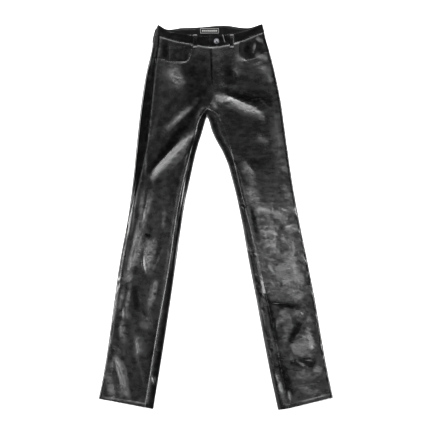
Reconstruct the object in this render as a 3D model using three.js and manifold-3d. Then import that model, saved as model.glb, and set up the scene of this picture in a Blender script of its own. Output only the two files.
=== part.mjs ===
// Leather trousers with five pockets, closed and laid out flat on their back, front side up.
// Millimetres. +X is to the viewer's right, +Y towards the waist, +Z up, and z = 0 is the surface.
// "right" and "left" are the wearer's sides, so the right leg lies on the -X side.
import * as THREE from "three";
import { mergeVertices } from "three/addons/utils/BufferGeometryUtils.js";
import Module from "manifold-3d";

const wasm = await Module();
wasm.setup();

// Walls and clearances.
const LEATHER = 1.3;
const HEM_WALL = 2.2;
const BAND_WALL = 2.4;
const BAND_FACING_WALL = 1.2;
const LABEL_WALL = 0.6;
const GAP = 0.3;
const HALF_GAP = GAP / 2;
const OUTSEAM_HALF_GAP = 0.25;
const WAIST_HALF_GAP = 0.25;
const LAYER_GAP = 0.5;

// The round fold along the edges of the legs and seat, and the front layer's way down from it.
const FOLD_RADIUS = 2.8;
const FOLD_ARC = Math.PI * FOLD_RADIUS;
const ROLL_FLAT = 5;
const ROLL_END = 32;
const RELIEF_START = 4;
const RELIEF_FULL = 22;

// Patch pockets and loops under the seat carry it clear of the surface.
const SEAT_LIFT = LEATHER + GAP;
const LIFT_FULL_Y = 300;
const LIFT_NONE_Y = 236;

// The front layer stands higher where facings lie under it.
const HIP_LIFT = LEATHER + GAP;
const HIP_FULL_Y = 440;
const HIP_NONE_Y = 380;

// Levels down the garment.
const YOKE_SIDE_Y = 498;
const YOKE_CENTRE_Y = 457;
const BAND_BACK_CENTRE_Y = 525;
const CROTCH_OUTER_Y = 345;
const CROTCH_SEAM_Y = 321;
const CROTCH_FOLD_Y = 299;
const HEM_DEPTH = 12;
const HEM_STEP = 1.5;

// How many cells each stretch of a wall is divided into.
const SEAT_STEPS = 5;
const LEG_STEPS = 38;
const FRONT_COLUMNS = 10;
const OPENING_COLUMNS = 7;
const STRIP_COLUMNS = 2;
const FOLD_COLUMNS = 4;
const UNDER_COLUMNS = 3;
const BAND_ROWS = 4;
const BAND_COLUMNS = 7;
const ARM_COLUMNS = 8;
const NEAR_EDGE = [0, 3, 6.5];
const LAST_NEAR = NEAR_EDGE.length - 1;
const EDGE_SHARES = [0.16, 0.34, 0.54, 0.76, 1];

// The seams and folds of each side, from the waist down. tilt is the slope of its rows at the outer
// fold, and round is how far the back wall comes round that fold before it meets the front.
const SIDES = {
  right: {
    sign: 1,
    levels: { top: 567, waist: 538, pocketEnd: 472 },
    hem: { outer: -536, seam: -562, inner: -566 },
    outer: [
      { y: 567, x: -171 },
      { y: 553, x: -177 },
      { y: 534, x: -182.5 },
      { y: 492, x: -189 },
      { y: 433, x: -203 },
      { y: 345, x: -218 },
      { y: 227, x: -232 },
      { y: 109, x: -244 },
      { y: -9, x: -260 },
      { y: -127, x: -282 },
      { y: -245, x: -299 },
      { y: -363, x: -315 },
      { y: -481, x: -334 },
      { y: -536, x: -345.5 },
    ],
    inner: [
      { y: 299, x: -27 },
      { y: 285, x: -31 },
      { y: 256, x: -39 },
      { y: 197, x: -57 },
      { y: 109, x: -77 },
      { y: 50, x: -90 },
      { y: -9, x: -100 },
      { y: -127, x: -117 },
      { y: -245, x: -134 },
      { y: -363, x: -152 },
      { y: -481, x: -171 },
      { y: -566, x: -185 },
    ],
    inseam: [
      { y: 321, x: -26 },
      { y: 299, x: -43 },
      { y: 234, x: -63 },
      { y: 125, x: -92 },
      { y: 53, x: -108 },
      { y: -24, x: -121 },
      { y: -142, x: -138 },
      { y: -340, x: -174 },
      { y: -562, x: -210 },
    ],
    tilt: [
      { y: 567, slope: 0.55 },
      { y: 538, slope: 0.3 },
      { y: 472, slope: 0.19 },
      { y: 345, slope: 0.14 },
      { y: -536, slope: 0.18 },
    ],
    round: [
      { y: 567, reach: 9.5 },
      { y: 538, reach: 18 },
      { y: 472, reach: 23 },
      { y: 348, reach: 32 },
      { y: 227, reach: 33 },
      { y: 109, reach: 21 },
      { y: -9, reach: 9.5 },
      { y: -150, reach: 4.4 },
      { y: -536, reach: 4.4 },
    ],
    opening: { bendX: -118, bendY: 459, pullX: -65, pullY: 433, endX: -73 },
  },
  left: {
    sign: -1,
    levels: { top: 569, waist: 545, pocketEnd: 488 },
    hem: { outer: -533, seam: -565, inner: -569 },
    outer: [
      { y: 569, x: 137 },
      { y: 554, x: 141 },
      { y: 537, x: 144 },
      { y: 501, x: 154 },
      { y: 433, x: 172 },
      { y: 345, x: 190 },
      { y: 227, x: 207 },
      { y: 109, x: 224 },
      { y: -9, x: 245 },
      { y: -127, x: 269 },
      { y: -245, x: 292 },
      { y: -363, x: 312 },
      { y: -481, x: 334 },
      { y: -533, x: 345.5 },
    ],
    inner: [
      { y: 299, x: -27 },
      { y: 286, x: -21 },
      { y: 256, x: -12 },
      { y: 227, x: 1 },
      { y: 197, x: 18 },
      { y: 168, x: 31 },
      { y: 109, x: 49 },
      { y: -9, x: 76 },
      { y: -127, x: 97 },
      { y: -245, x: 120 },
      { y: -363, x: 142 },
      { y: -481, x: 165 },
      { y: -569, x: 184 },
    ],
    inseam: [
      { y: 321, x: -26 },
      { y: 310, x: -4 },
      { y: 280, x: 16 },
      { y: 221, x: 39 },
      { y: 171, x: 52 },
      { y: 75, x: 75 },
      { y: -116, x: 123 },
      { y: -324, x: 169 },
      { y: -565, x: 215 },
    ],
    tilt: [
      { y: 569, slope: 0.33 },
      { y: 545, slope: 0.33 },
      { y: 488, slope: 0.2 },
      { y: 345, slope: 0.12 },
      { y: -533, slope: 0.23 },
    ],
    round: [
      { y: 569, reach: 4.4 },
      { y: -533, reach: 4.4 },
    ],
    opening: { bendX: 126, bendY: 481, pullX: 50, pullY: 426, endX: 71 },
  },
};

// Edges that cross from side to side, without their ends at the two outer folds.
const WAIST_SEAM = [
  { x: -121, y: 520 },
  { x: -71, y: 511 },
  { x: -16, y: 502 },
  { x: 20, y: 506 },
  { x: 71, y: 518 },
  { x: 117, y: 536 },
];
const FRONT_TOP = [
  { x: -155, y: 557 },
  { x: -96, y: 543 },
  { x: -66, y: 539 },
  { x: 27, y: 539 },
  { x: 59, y: 545 },
  { x: 95, y: 555 },
];
const BACK_TOP = [
  { x: -155, y: 557 },
  { x: -96, y: 558 },
  { x: -40, y: 560 },
  { x: 3, y: 564 },
  { x: 37, y: 564 },
  { x: 69, y: 559 },
  { x: 100, y: 558 },
];
const CENTRE_FRONT = [
  { y: 502, x: -15 },
  { y: 478, x: -13 },
  { y: 404, x: -11 },
  { y: 368, x: -5 },
  { y: 345, x: -12 },
  { y: 321, x: -26 },
];
const CENTRE_BACK = [
  { y: 525, x: -18 },
  { y: 299, x: -27 },
];

// The closed fly: the left front lies over the right one, raised as far as its facing reaches.
const FLY = { lap: 10, lapFullY: 425, lapNoneY: 395, width: 37, blend: 6, raisedY: 390, flatY: 368 };
const FLY_RAISE = LEATHER + GAP;

// The waistband's two front ends lie on each other under the button.
const UNDER_BAND_TOP = SEAT_LIFT + 5.5;
const UNDER_END_X = 20;
const OVER = { endX: -19.5, fullX: 21, noneX: 40, cells: 3 };
const OVER_RAISE = BAND_WALL + GAP;
const BAND_FACING = { rightX: -158, leftX: 126, low: 0.05, high: 0.96 };
const BAND_FACING_TOP = SEAT_LIFT + LEATHER + GAP + BAND_FACING_WALL;
const LABEL = { x: -18.5, y: 549, width: 57, height: 16.5 };
const BUTTON = { x: 2, y: 518, radius: 8.5, shank: 2.6, turns: 20 };
const BUTTONHOLE = { x: 4.7, length: 12, width: 6.6, cells: 4 };

// Loops for a belt.
const LOOP = { width: 12, wall: 1.3, cells: 6, clear: 0.5 };
const FRONT_LOOPS = { right: -61, left: 47 };
const FRONT_LOOP = { topY: 537, bottomY: 497, bow: 1 };
const BACK_LOOPS = { centre: -18, left: 112 };
const BACK_LOOP = { topY: 556, bottomY: 506 };
const SIDE_LOOP = { topY: 554, bottomY: 514, sweep: 0.9 };

// Facings under the front openings, with the coin pocket on the right one.
const FACING = { allowance: 12, dropStart: 2, dropEnd: 20, tuckStart: 24, tuckEnd: 44, corner: 0.45 };
const FACING_DROP = LEATHER + GAP;
const FACING_COLUMNS = 7;
const COIN_POCKET = { fromX: -137, toX: -90, topY: 503, wall: 1, rows: 4, columns: 4, clear: 2.2 };

// Patch pockets under the seat.
const BACK_POCKET = { topY: 446, top: 62, foot: 54, shoulderY: 334, pointY: 308 };
const BACK_POCKETS = { right: -112, left: 80 };

// The largest folds of the front layer: ridges, and troughs where the height is negative.
const LOFT = 0.8;
const FOLD_TAPER = 0.7;
const FOLDS = [
  { x: -64, y: 252, toX: -191, toY: 112, reach: 19, height: 2.4 },
  { x: -65, y: 323, toX: -141, toY: 252, reach: 18, height: 1.7 },
  { x: -129, y: 433, toX: -97, toY: 386, reach: 20, height: 1.2 },
  { x: -222, y: -9, toX: -252, toY: -171, reach: 17, height: 1.9 },
  { x: -196, y: -68, toX: -202, toY: -160, reach: 16, height: 1.7 },
  { x: -271, y: -289, toX: -274, toY: -363, reach: 17, height: 1.4 },
  { x: -288, y: -410, toX: -262, toY: -514, reach: 17, height: 1.7 },
  { x: 3, y: 354, toX: 142, toY: 287, reach: 19, height: 2.2 },
  { x: 143, y: 441, toX: 154, toY: 376, reach: 16, height: 1.3 },
  { x: 59, y: 180, toX: 107, toY: 115, reach: 18, height: 1.4 },
  { x: 148, y: 20, toX: 160, toY: -112, reach: 24, height: 1.6 },
  { x: 213, y: -24, toX: 219, toY: -216, reach: 24, height: 1.8 },
  { x: 262, y: -350, toX: 280, toY: -405, reach: 20, height: 1.8 },
  { x: 200, y: -270, toX: 212, toY: -335, reach: 18, height: 1.2 },
  { x: 219, y: -407, toX: 293, toY: -440, reach: 18, height: -1.1 },
  { x: 242, y: -332, toX: 222, toY: -357, reach: 14, height: -0.8 },
];

const FINISHES = {
  leather: { color: 0x17171a, roughness: 0.34, metalness: 0 },
  facing: { color: 0x1d1d20, roughness: 0.42, metalness: 0 },
  metal: { color: 0x9a9a9c, roughness: 0.3, metalness: 1 },
  woven: { color: 0x222226, roughness: 0.8, metalness: 0 },
};

const garment = new THREE.Group();
garment.name = "leather_trousers";
const mix = THREE.MathUtils.lerp;

function ease(value, from, to) {
  const t = THREE.MathUtils.clamp((value - from) / (to - from), 0, 1);
  return t * t * (3 - 2 * t);
}

// Evenly spaced values, both ends included.
function evenly(from, to, cells) {
  return Array.from({ length: cells + 1 }, (_, i) => mix(from, to, i / cells));
}

// A smooth curve through a short table: from one named column's value to the other's.
function through(table, given, wanted) {
  const rows = [...table].sort((a, b) => a[given] - b[given]);
  const at = rows.map((row) => row[given]);
  const value = rows.map((row) => row[wanted]);
  const last = rows.length - 1;
  const chord = (i) => (value[i + 1] - value[i]) / (at[i + 1] - at[i]);
  const slope = at.map((_, i) => {
    if (i === 0) return chord(0);
    if (i === last) return chord(last - 1);
    const before = at[i] - at[i - 1];
    const after = at[i + 1] - at[i];
    return (chord(i - 1) * after + chord(i) * before) / (before + after);
  });
  return (where) => {
    let i = 0;
    while (i < last - 1 && where > at[i + 1]) i += 1;
    const length = at[i + 1] - at[i];
    const t = THREE.MathUtils.clamp((where - at[i]) / length, 0, 1);
    const rest = 1 - t;
    const start = value[i] * (1 + 2 * t) + slope[i] * length * t;
    const end = value[i + 1] * (1 + 2 * rest) - slope[i + 1] * length * rest;
    return start * rest * rest + end * t * t;
  };
}

const centreFrontX = through(CENTRE_FRONT, "y", "x");
const centreBackX = through(CENTRE_BACK, "y", "x");
for (const side of Object.values(SIDES)) {
  side.outerX = through(side.outer, "y", "x");
  side.innerX = through(side.inner, "y", "x");
  side.inseamX = through(side.inseam, "y", "x");
  side.tiltAt = through(side.tilt, "y", "slope");
  side.roundAt = through(side.round, "y", "reach");
}

// The outer fold at one level: its outermost point and the way inward along the row.
function outerEdge(side, y) {
  const tilt = side.tiltAt(y);
  return { x: side.outerX(y), y, inX: side.sign * Math.cos(tilt), inY: -Math.sin(tilt) };
}

// The plan point at a distance inward from a fold's outermost point.
function inward(edge, distance) {
  return { x: edge.x + edge.inX * distance, y: edge.y + edge.inY * distance };
}

// How far in from the outer fold the outseam lies, in plan.
function outseamInset(side, y) {
  return Math.max(side.roundAt(y) - FOLD_ARC + FOLD_RADIUS, 0);
}

// Where a front piece's places near the outseam end and its even ones begin.
function evenStart(side, y) {
  const past = side.roundAt(y) + OUTSEAM_HALF_GAP + NEAR_EDGE[LAST_NEAR] - FOLD_ARC;
  return inward(outerEdge(side, y), FOLD_RADIUS + past);
}

// Where the under side ends and the outer fold begins.
function foldStart(side, y) {
  return inward(outerEdge(side, y), FOLD_RADIUS);
}

// An edge across the garment, with its ends set on both sides at one level.
function acrossCurve(table, level, endOf) {
  const ends = Object.values(SIDES).map((side) => endOf(side, side.levels[level]));
  return through([...table, ...ends], "x", "y");
}
const waistSeamY = acrossCurve(WAIST_SEAM, "waist", evenStart);
const frontTopY = acrossCurve(FRONT_TOP, "top", evenStart);
const backTopY = acrossCurve(BACK_TOP, "top", foldStart);

// The seam between the yokes and the waistband's back length, straight on each side of the centre.
const BACK_CENTRE = { x: centreBackX(BAND_BACK_CENTRE_Y), y: BAND_BACK_CENTRE_Y };
function backWaistY(x) {
  const side = x < BACK_CENTRE.x ? SIDES.right : SIDES.left;
  const end = foldStart(side, side.levels.waist);
  return mix(BACK_CENTRE.y, end.y, (x - BACK_CENTRE.x) / (end.x - BACK_CENTRE.x));
}

// Height of the back layer's underside.
function liftAt(y) {
  return SEAT_LIFT * ease(y, LIFT_NONE_Y, LIFT_FULL_Y);
}

// Distance in plan from the outer fold, and from the inner one, which begins at the crotch.
function foldDistances(side, x, y) {
  const aboveCrotch = Math.max(y - CROTCH_FOLD_Y, 0);
  return {
    outer: Math.abs(x - side.outerX(y)),
    inner: Math.hypot(x - side.innerX(y), aboveCrotch),
  };
}

function foldRelief(x, y) {
  let sum = LOFT;
  for (const fold of FOLDS) {
    const runX = fold.toX - fold.x;
    const runY = fold.toY - fold.y;
    const t = ((x - fold.x) * runX + (y - fold.y) * runY) / (runX * runX + runY * runY);
    if (t <= 0 || t >= 1) continue;
    const off = Math.hypot(x - fold.x - t * runX, y - fold.y - t * runY) / fold.reach;
    if (off < 1) sum += fold.height * (1 - off * off) ** 2 * Math.sin(Math.PI * t) ** FOLD_TAPER;
  }
  return Math.max(sum, 0);
}

// Top of the front layer. hem is 0 above the turned hem and 1 in it.
function frontTop(side, x, y, hem = 0) {
  const { outer, inner } = foldDistances(side, x, y);
  const nearest = Math.min(outer, inner);
  const hip = HIP_LIFT * ease(y, HIP_NONE_Y, HIP_FULL_Y);
  const flat = liftAt(y) + hip + 2 * mix(LEATHER, HEM_WALL, hem) + LAYER_GAP;
  const edge = liftAt(y) + 2 * FOLD_RADIUS;
  const roll = 1 - ease(nearest, ROLL_FLAT, ROLL_END);
  const relief = foldRelief(x, y) * ease(nearest, RELIEF_START, RELIEF_FULL) * (1 - hem);
  return mix(flat, Math.max(edge, flat), roll) + relief;
}

function flyRaise(x, y) {
  const across = 1 - ease(x - centreFrontX(y), FLY.width - FLY.blend, FLY.width + FLY.blend);
  return FLY_RAISE * across * ease(y, FLY.flatY, FLY.raisedY);
}

// A place on a wall is a pair of points, on its outer face and on its inner face.
function above(x, y, top, wall) {
  return [
    [x, y, top],
    [x, y, top - wall],
  ];
}

function below(x, y, wall) {
  return [
    [x, y, liftAt(y)],
    [x, y, liftAt(y) + wall],
  ];
}

// The place on a fold at a distance round it from the underside. raise sets it outside the fold.
function onFold(edge, distance, wall, raise = 0) {
  const angle = distance / FOLD_RADIUS - Math.PI / 2;
  return [FOLD_RADIUS + raise, FOLD_RADIUS + raise - wall].map((radius) => {
    const { x, y } = inward(edge, FOLD_RADIUS - radius * Math.cos(angle));
    return [x, y, liftAt(edge.y) + FOLD_RADIUS + radius * Math.sin(angle)];
  });
}

// The same, going on over the top of the front layer past the fold.
function roundAndOver(edge, distance, wall, topAt) {
  if (distance < FOLD_ARC) return onFold(edge, distance, wall);
  const { x, y } = inward(edge, FOLD_RADIUS + distance - FOLD_ARC);
  return above(x, y, topAt(x, y), wall);
}

// A closed wall from rows of places. A missing place leaves out the cells round it.
function wallOf(rows) {
  const points = [];
  const index = rows.map((row) =>
    row.map((place) => (place ? points.push(...place) - 2 : -1)),
  );
  const faces = [];
  const rim = new Map();
  const addFace = (...corners) => {
    faces.push(corners, corners.map((i) => i + 1).reverse());
    corners.forEach((from, i) => {
      const to = corners[(i + 1) % corners.length];
      if (!rim.delete(`${to} ${from}`)) rim.set(`${from} ${to}`, [from, to]);
    });
  };
  for (let r = 0; r + 1 < rows.length; r += 1) {
    for (let c = 0; c + 1 < rows[r].length; c += 1) {
      const cell = [index[r][c], index[r + 1][c], index[r + 1][c + 1], index[r][c + 1]];
      if (cell.includes(-1)) continue;
      addFace(cell[0], cell[1], cell[2]);
      addFace(cell[0], cell[2], cell[3]);
    }
  }
  for (const [from, to] of rim.values()) {
    faces.push([to, from, from + 1], [to, from + 1, to + 1]);
  }
  return facingOut(points, faces);
}

// Geometry from shared points and triangles, turned to face out.
function facingOut(points, faces) {
  const corners = points.map((p) => new THREE.Vector3(...p));
  const volume = faces.reduce((sum, [a, b, c]) => {
    const normal = new THREE.Vector3().crossVectors(corners[b], corners[c]);
    return sum + corners[a].dot(normal);
  }, 0);
  const index = faces.flatMap(([a, b, c]) => (volume > 0 ? [a, b, c] : [a, c, b]));
  const geometry = new THREE.BufferGeometry();
  geometry.setAttribute("position", new THREE.Float32BufferAttribute(points.flat(), 3));
  geometry.setIndex(index);
  return geometry;
}

function addPiece(name, geometry, finish = "leather") {
  const mesh = new THREE.Mesh(geometry, new THREE.MeshStandardMaterial(FINISHES[finish]));
  mesh.name = name;
  garment.add(mesh);
  return mesh;
}

// Rows down a leg from the crotch to the hem: outer level, seam point on top and inner fold.
function legRows(side) {
  const hemShare = HEM_DEPTH / (CROTCH_OUTER_Y - side.hem.outer);
  const stepShare = (HEM_STEP / HEM_DEPTH) * hemShare;
  const shares = [...evenly(0, 1 - hemShare, LEG_STEPS), 1 - hemShare + stepShare, 1];
  const hemDrop = side.hem.seam - side.hem.inner;
  const crotchDrop = CROTCH_SEAM_Y - CROTCH_FOLD_Y;
  return shares.map((share, k) => {
    const seamY = mix(CROTCH_SEAM_Y, side.hem.seam, share);
    const foldY = seamY - mix(hemDrop, crotchDrop, (1 - share) ** 8);
    return {
      outerY: mix(CROTCH_OUTER_Y, side.hem.outer, share),
      seam: { x: side.inseamX(seamY), y: seamY },
      fold: { x: side.innerX(foldY), y: foldY },
      hem: k > LEG_STEPS ? 1 : 0,
      wall: k > LEG_STEPS ? HEM_WALL : LEATHER,
    };
  });
}

// Levels of the seat's rows at the outer fold: waist, yoke seam, pocket end, then to the crotch.
function seatLevels({ levels }) {
  return [
    levels.waist,
    (levels.waist + YOKE_SIDE_Y) / 2,
    YOKE_SIDE_Y,
    (YOKE_SIDE_Y + levels.pocketEnd) / 2,
    ...evenly(levels.pocketEnd, CROTCH_OUTER_Y, SEAT_STEPS),
  ];
}
const YOKE_LEVELS = 3;
const FACING_LEVELS = 5;

// A point beside the inseam, on the front panel's side of it where the shift is positive.
function besideInseam(side, { x, y }, shift) {
  const upperY = Math.min(y + 4, CROTCH_SEAM_Y);
  const run = side.inseamX(y - 4) - side.inseamX(upperY);
  const drop = upperY - y + 4;
  const length = Math.hypot(run, drop);
  return {
    x: x - (side.sign * drop * shift) / length,
    y: y - (side.sign * run * shift) / length,
  };
}

// A row of the front: close places beside the outseam, then even ones to its inner end.
function frontRow(side, outerY, end, topAt, wall) {
  const edge = outerEdge(side, outerY);
  const start = side.roundAt(outerY) + OUTSEAM_HALF_GAP;
  const row = NEAR_EDGE.map((step) => roundAndOver(edge, start + step, wall, topAt));
  const [[fromX, fromY]] = row[LAST_NEAR];
  for (const share of evenly(0, 1, FRONT_COLUMNS).slice(1)) {
    const x = mix(fromX, end.x, share);
    const y = mix(fromY, end.y, share);
    row.push(above(x, y, topAt(x, y), wall));
  }
  return row;
}

// The pocket opening's edge, from beside the outseam up to the waist seam.
function openingCurve(side) {
  const { bendX, bendY, pullX, pullY, endX } = side.opening;
  const start = evenStart(side, side.levels.pocketEnd);
  return new THREE.CubicBezierCurve(
    new THREE.Vector2(start.x, start.y),
    new THREE.Vector2(bendX, bendY),
    new THREE.Vector2(pullX, pullY),
    new THREE.Vector2(endX, waistSeamY(endX)),
  );
}

// The front panel: its upper edge runs along the pocket opening and then the waist seam, and the
// rows below bend less and less until they are straight at the crotch.
function addFront(name) {
  const side = SIDES[name];
  const isOver = name === "left";
  const raise = isOver ? flyRaise : () => 0;
  const seamTopY = CENTRE_FRONT[0].y - WAIST_HALF_GAP;
  const centreX = (y) => {
    const lap = mix(-HALF_GAP, FLY.lap, ease(y, FLY.lapNoneY, FLY.lapFullY));
    return centreFrontX(y) + (isOver ? HALF_GAP : lap);
  };
  const curve = openingCurve(side);
  const upper = evenly(0, 1, OPENING_COLUMNS).map((share) => curve.getPointAt(share));
  upper[OPENING_COLUMNS].y -= WAIST_HALF_GAP;
  const topXs = evenly(side.opening.endX, centreX(seamTopY), FRONT_COLUMNS - OPENING_COLUMNS);
  for (const x of topXs.slice(1)) upper.push({ x, y: waistSeamY(x) - WAIST_HALF_GAP });

  const topAt = (x, y) => frontTop(side, x, y) + raise(x, y);
  const seatYs = seatLevels(side).slice(FACING_LEVELS - 1, -1);
  const rows = seatYs.map((outerY, k) => {
    const y = mix(seamTopY, CROTCH_SEAM_Y, k / SEAT_STEPS);
    return frontRow(side, outerY, { x: centreX(y), y }, topAt, LEATHER);
  });
  const shifts = upper.map(({ x, y }, c) => {
    const [[fromX, fromY]] = rows[0][LAST_NEAR + c];
    return { x: x - fromX, y: y - fromY };
  });
  rows.forEach((row, k) => {
    const share = (1 - k / SEAT_STEPS) ** 1.6;
    shifts.forEach((shift, c) => {
      const [[fromX, fromY]] = row[LAST_NEAR + c];
      const x = fromX + shift.x * share;
      const y = fromY + shift.y * share;
      row[LAST_NEAR + c] = above(x, y, topAt(x, y), LEATHER);
    });
  });
  for (const row of legRows(side)) {
    const hemTop = (x, y) => frontTop(side, x, y, row.hem) + raise(x, y);
    rows.push(frontRow(side, row.outerY, besideInseam(side, row.seam, HALF_GAP), hemTop, row.wall));
  }
  addPiece(`front_${name}`, wallOf(rows));
}

// The stretch of a back row under the garment and round its outer fold to the outseam.
function underAndRound(side, from, outerY, wall, hem = 0) {
  const edge = outerEdge(side, outerY);
  const end = foldStart(side, outerY);
  const reach = side.roundAt(outerY) - OUTSEAM_HALF_GAP;
  const topAt = (x, y) => frontTop(side, x, y, hem);
  const places = evenly(0, 1, UNDER_COLUMNS).map((share) =>
    below(mix(from.x, end.x, share), mix(from.y, end.y, share), wall),
  );
  return [...places, ...EDGE_SHARES.map((share) => roundAndOver(edge, reach * share, wall, topAt))];
}

// The back panel: from the inseam on top, round the inner fold, under, and round the outer fold.
// Above the crotch it begins at the centre back seam, and the places before that are missing.
function addBack(name) {
  const side = SIDES[name];
  const besideCentre = (y) => ({ x: centreBackX(y) - side.sign * HALF_GAP, y });
  const missing = Array(STRIP_COLUMNS + FOLD_COLUMNS).fill(null);
  const seatYs = seatLevels(side).slice(YOKE_LEVELS - 1, -1);
  const rows = seatYs.map((outerY, k) => {
    const share = k / seatYs.length;
    const shift = k === 0 ? HALF_GAP : 0;
    const y = mix(YOKE_CENTRE_Y, CROTCH_FOLD_Y + FOLD_RADIUS, share) - shift;
    return [...missing, ...underAndRound(side, besideCentre(y), outerY - shift, LEATHER)];
  });
  legRows(side).forEach((row, k) => {
    const atCrotch = k === 0;
    const seam = atCrotch
      ? besideCentre(CROTCH_SEAM_Y - GAP)
      : besideInseam(side, row.seam, -HALF_GAP);
    const fold = atCrotch ? besideCentre(CROTCH_FOLD_Y) : row.fold;
    const width = Math.hypot(seam.x - fold.x, seam.y - fold.y);
    const edge = { ...fold, inX: (seam.x - fold.x) / width, inY: (seam.y - fold.y) / width };
    const strip = evenly(width, FOLD_RADIUS, STRIP_COLUMNS).slice(0, -1);
    const top = strip.map((distance) => {
      const { x, y } = inward(edge, distance);
      return above(x, y, frontTop(side, x, y, row.hem), row.wall);
    });
    const round = evenly(FOLD_ARC, 0, FOLD_COLUMNS).slice(0, -1);
    rows.push([
      ...top,
      ...round.map((distance) => onFold(edge, distance, row.wall)),
      ...underAndRound(side, inward(edge, FOLD_RADIUS), row.outerY, row.wall, row.hem),
    ]);
  });
  addPiece(`back_${name}`, wallOf(rows));
}

function addYoke(name) {
  const side = SIDES[name];
  const outerYs = seatLevels(side).slice(0, YOKE_LEVELS);
  const centreYs = evenly(BAND_BACK_CENTRE_Y, YOKE_CENTRE_Y, YOKE_LEVELS - 1);
  const shifts = [-WAIST_HALF_GAP, 0, HALF_GAP];
  const rows = outerYs.map((outerY, k) => {
    const y = centreYs[k] + shifts[k];
    const centre = { x: centreBackX(y) - side.sign * HALF_GAP, y };
    return underAndRound(side, centre, outerY + shifts[k], LEATHER);
  });
  addPiece(`yoke_${name}`, wallOf(rows));
}

// The facing seen in a pocket opening. It is flush at the outseam, then lies lower, and past the
// opening's edge it goes on under the front panel.
function facingTop(side, x, y) {
  const past = foldDistances(side, x, y).outer - outseamInset(side, y);
  return frontTop(side, x, y) - FACING_DROP * ease(past, FACING.dropStart, FACING.dropEnd);
}

function addPocketFacing(name) {
  const side = SIDES[name];
  const curve = openingCurve(side);
  const beside = (share) => {
    const point = curve.getPointAt(share);
    const tangent = curve.getTangentAt(share);
    const past = foldDistances(side, point.x, point.y).outer - outseamInset(side, point.y);
    const out = mix(-GAP, FACING.allowance, ease(past, FACING.tuckStart, FACING.tuckEnd));
    return {
      x: point.x + side.sign * tangent.y * out,
      y: point.y - side.sign * tangent.x * out,
    };
  };
  const topAt = (x, y) => facingTop(side, x, y);
  const levels = seatLevels(side).slice(0, FACING_LEVELS);
  levels[0] -= WAIST_HALF_GAP;
  levels[FACING_LEVELS - 1] += GAP;
  const near = levels.map((outerY) => {
    const edge = outerEdge(side, outerY);
    const start = side.roundAt(outerY) + OUTSEAM_HALF_GAP;
    return NEAR_EDGE.map((step) => roundAndOver(edge, start + step, LEATHER, topAt));
  });
  const flat = (place) => ({ x: place[0][0], y: place[0][1] });
  const waistEnd = beside(1);
  const outer = near.map((row) => flat(row[LAST_NEAR]));
  const inner = evenly(1, FACING.corner, FACING_LEVELS - 1).map(beside);
  inner[0] = { x: waistEnd.x, y: waistSeamY(waistEnd.x) - WAIST_HALF_GAP };
  const waist = evenly(outer[0].x, waistEnd.x, FACING_COLUMNS).map((x) => ({
    x,
    y: waistSeamY(x) - WAIST_HALF_GAP,
  }));
  const low = evenly(0, FACING.corner, FACING_COLUMNS).map(beside);
  const rows = near.map((row, k) => {
    const v = k / (FACING_LEVELS - 1);
    const rest = waist.map((_, c) => {
      const u = c / FACING_COLUMNS;
      const [x, y] = ["x", "y"].map((axis) => {
        const between = mix(waist[c][axis], low[c][axis], v) + mix(outer[k][axis], inner[k][axis], u);
        const upper = mix(waist[0][axis], waist[FACING_COLUMNS][axis], u);
        const lower = mix(low[0][axis], low[FACING_COLUMNS][axis], u);
        return between - mix(upper, lower, v);
      });
      return above(x, y, topAt(x, y), LEATHER);
    });
    return [...row.slice(0, -1), ...rest];
  });
  addPiece(`pocket_facing_${name}`, wallOf(rows), "facing");
}

function addCoinPocket() {
  const side = SIDES.right;
  const edge = openingCurve(side).getSpacedPoints(120);
  const { fromX, toX, topY, wall, clear } = COIN_POCKET;
  const columns = evenly(fromX, toX, COIN_POCKET.columns);
  const rows = evenly(0, 1, COIN_POCKET.rows).map((share) =>
    columns.map((x) => {
      const { y: edgeY } = edge.find((point) => point.x >= x);
      const y = mix(topY, edgeY + clear, share);
      return above(x, y, facingTop(side, x, y) + GAP + wall, wall);
    }),
  );
  addPiece("coin_pocket", wallOf(rows), "facing");
}

// The waistband's back length lies under the fronts and turns up round both outer folds.
function addWaistbandBack() {
  const rows = evenly(0, 1, BAND_ROWS).map((share) => {
    const raise = WAIST_HALF_GAP * (1 - share);
    const [right, left] = Object.values(SIDES).map((side) => {
      const y = mix(side.levels.waist, side.levels.top, share) + raise;
      const edge = outerEdge(side, y);
      const reach = side.roundAt(y) - OUTSEAM_HALF_GAP;
      const topAt = () => liftAt(y) + 2 * FOLD_RADIUS;
      return {
        start: foldStart(side, y),
        round: EDGE_SHARES.map((part) => roundAndOver(edge, reach * part, LEATHER, topAt)),
      };
    });
    const xs = [
      ...evenly(right.start.x, BACK_CENTRE.x, BAND_COLUMNS),
      ...evenly(BACK_CENTRE.x, left.start.x, BAND_COLUMNS).slice(1),
    ];
    const under = xs.map((x) => {
      const y = mix(backWaistY(x), backTopY(x), share) + raise;
      return below(x, y, LEATHER);
    });
    return [...right.round.reverse(), ...under, ...left.round];
  });
  addPiece("waistband_back", wallOf(rows));
}

// The facing inside the back length, seen above the dipping front.
function addWaistbandFacing() {
  const { rightX, leftX, low, high } = BAND_FACING;
  const xs = evenly(rightX, leftX, 2 * BAND_COLUMNS);
  const rows = [low, high].map((share) =>
    xs.map((x) => {
      const y = mix(backWaistY(x), backTopY(x), share);
      return above(x, y, BAND_FACING_TOP, BAND_FACING_WALL);
    }),
  );
  addPiece("waistband_facing", wallOf(rows), "facing");
}

function addLabel() {
  const { x, y, width, height } = LABEL;
  const label = new THREE.BoxGeometry(width, height, LABEL_WALL);
  label.translate(x, y, BAND_FACING_TOP + GAP + LABEL_WALL / 2);
  addPiece("label", label, "woven");
}

// Top of a front length of the waistband: the over end climbs on to the under one.
function bandTop(x, isOver) {
  const climb = (OVER.noneX - x) / (OVER.noneX - OVER.fullX);
  const raise = isOver ? THREE.MathUtils.clamp(climb, 0, 1) : 0;
  return UNDER_BAND_TOP + OVER_RAISE * raise;
}

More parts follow.
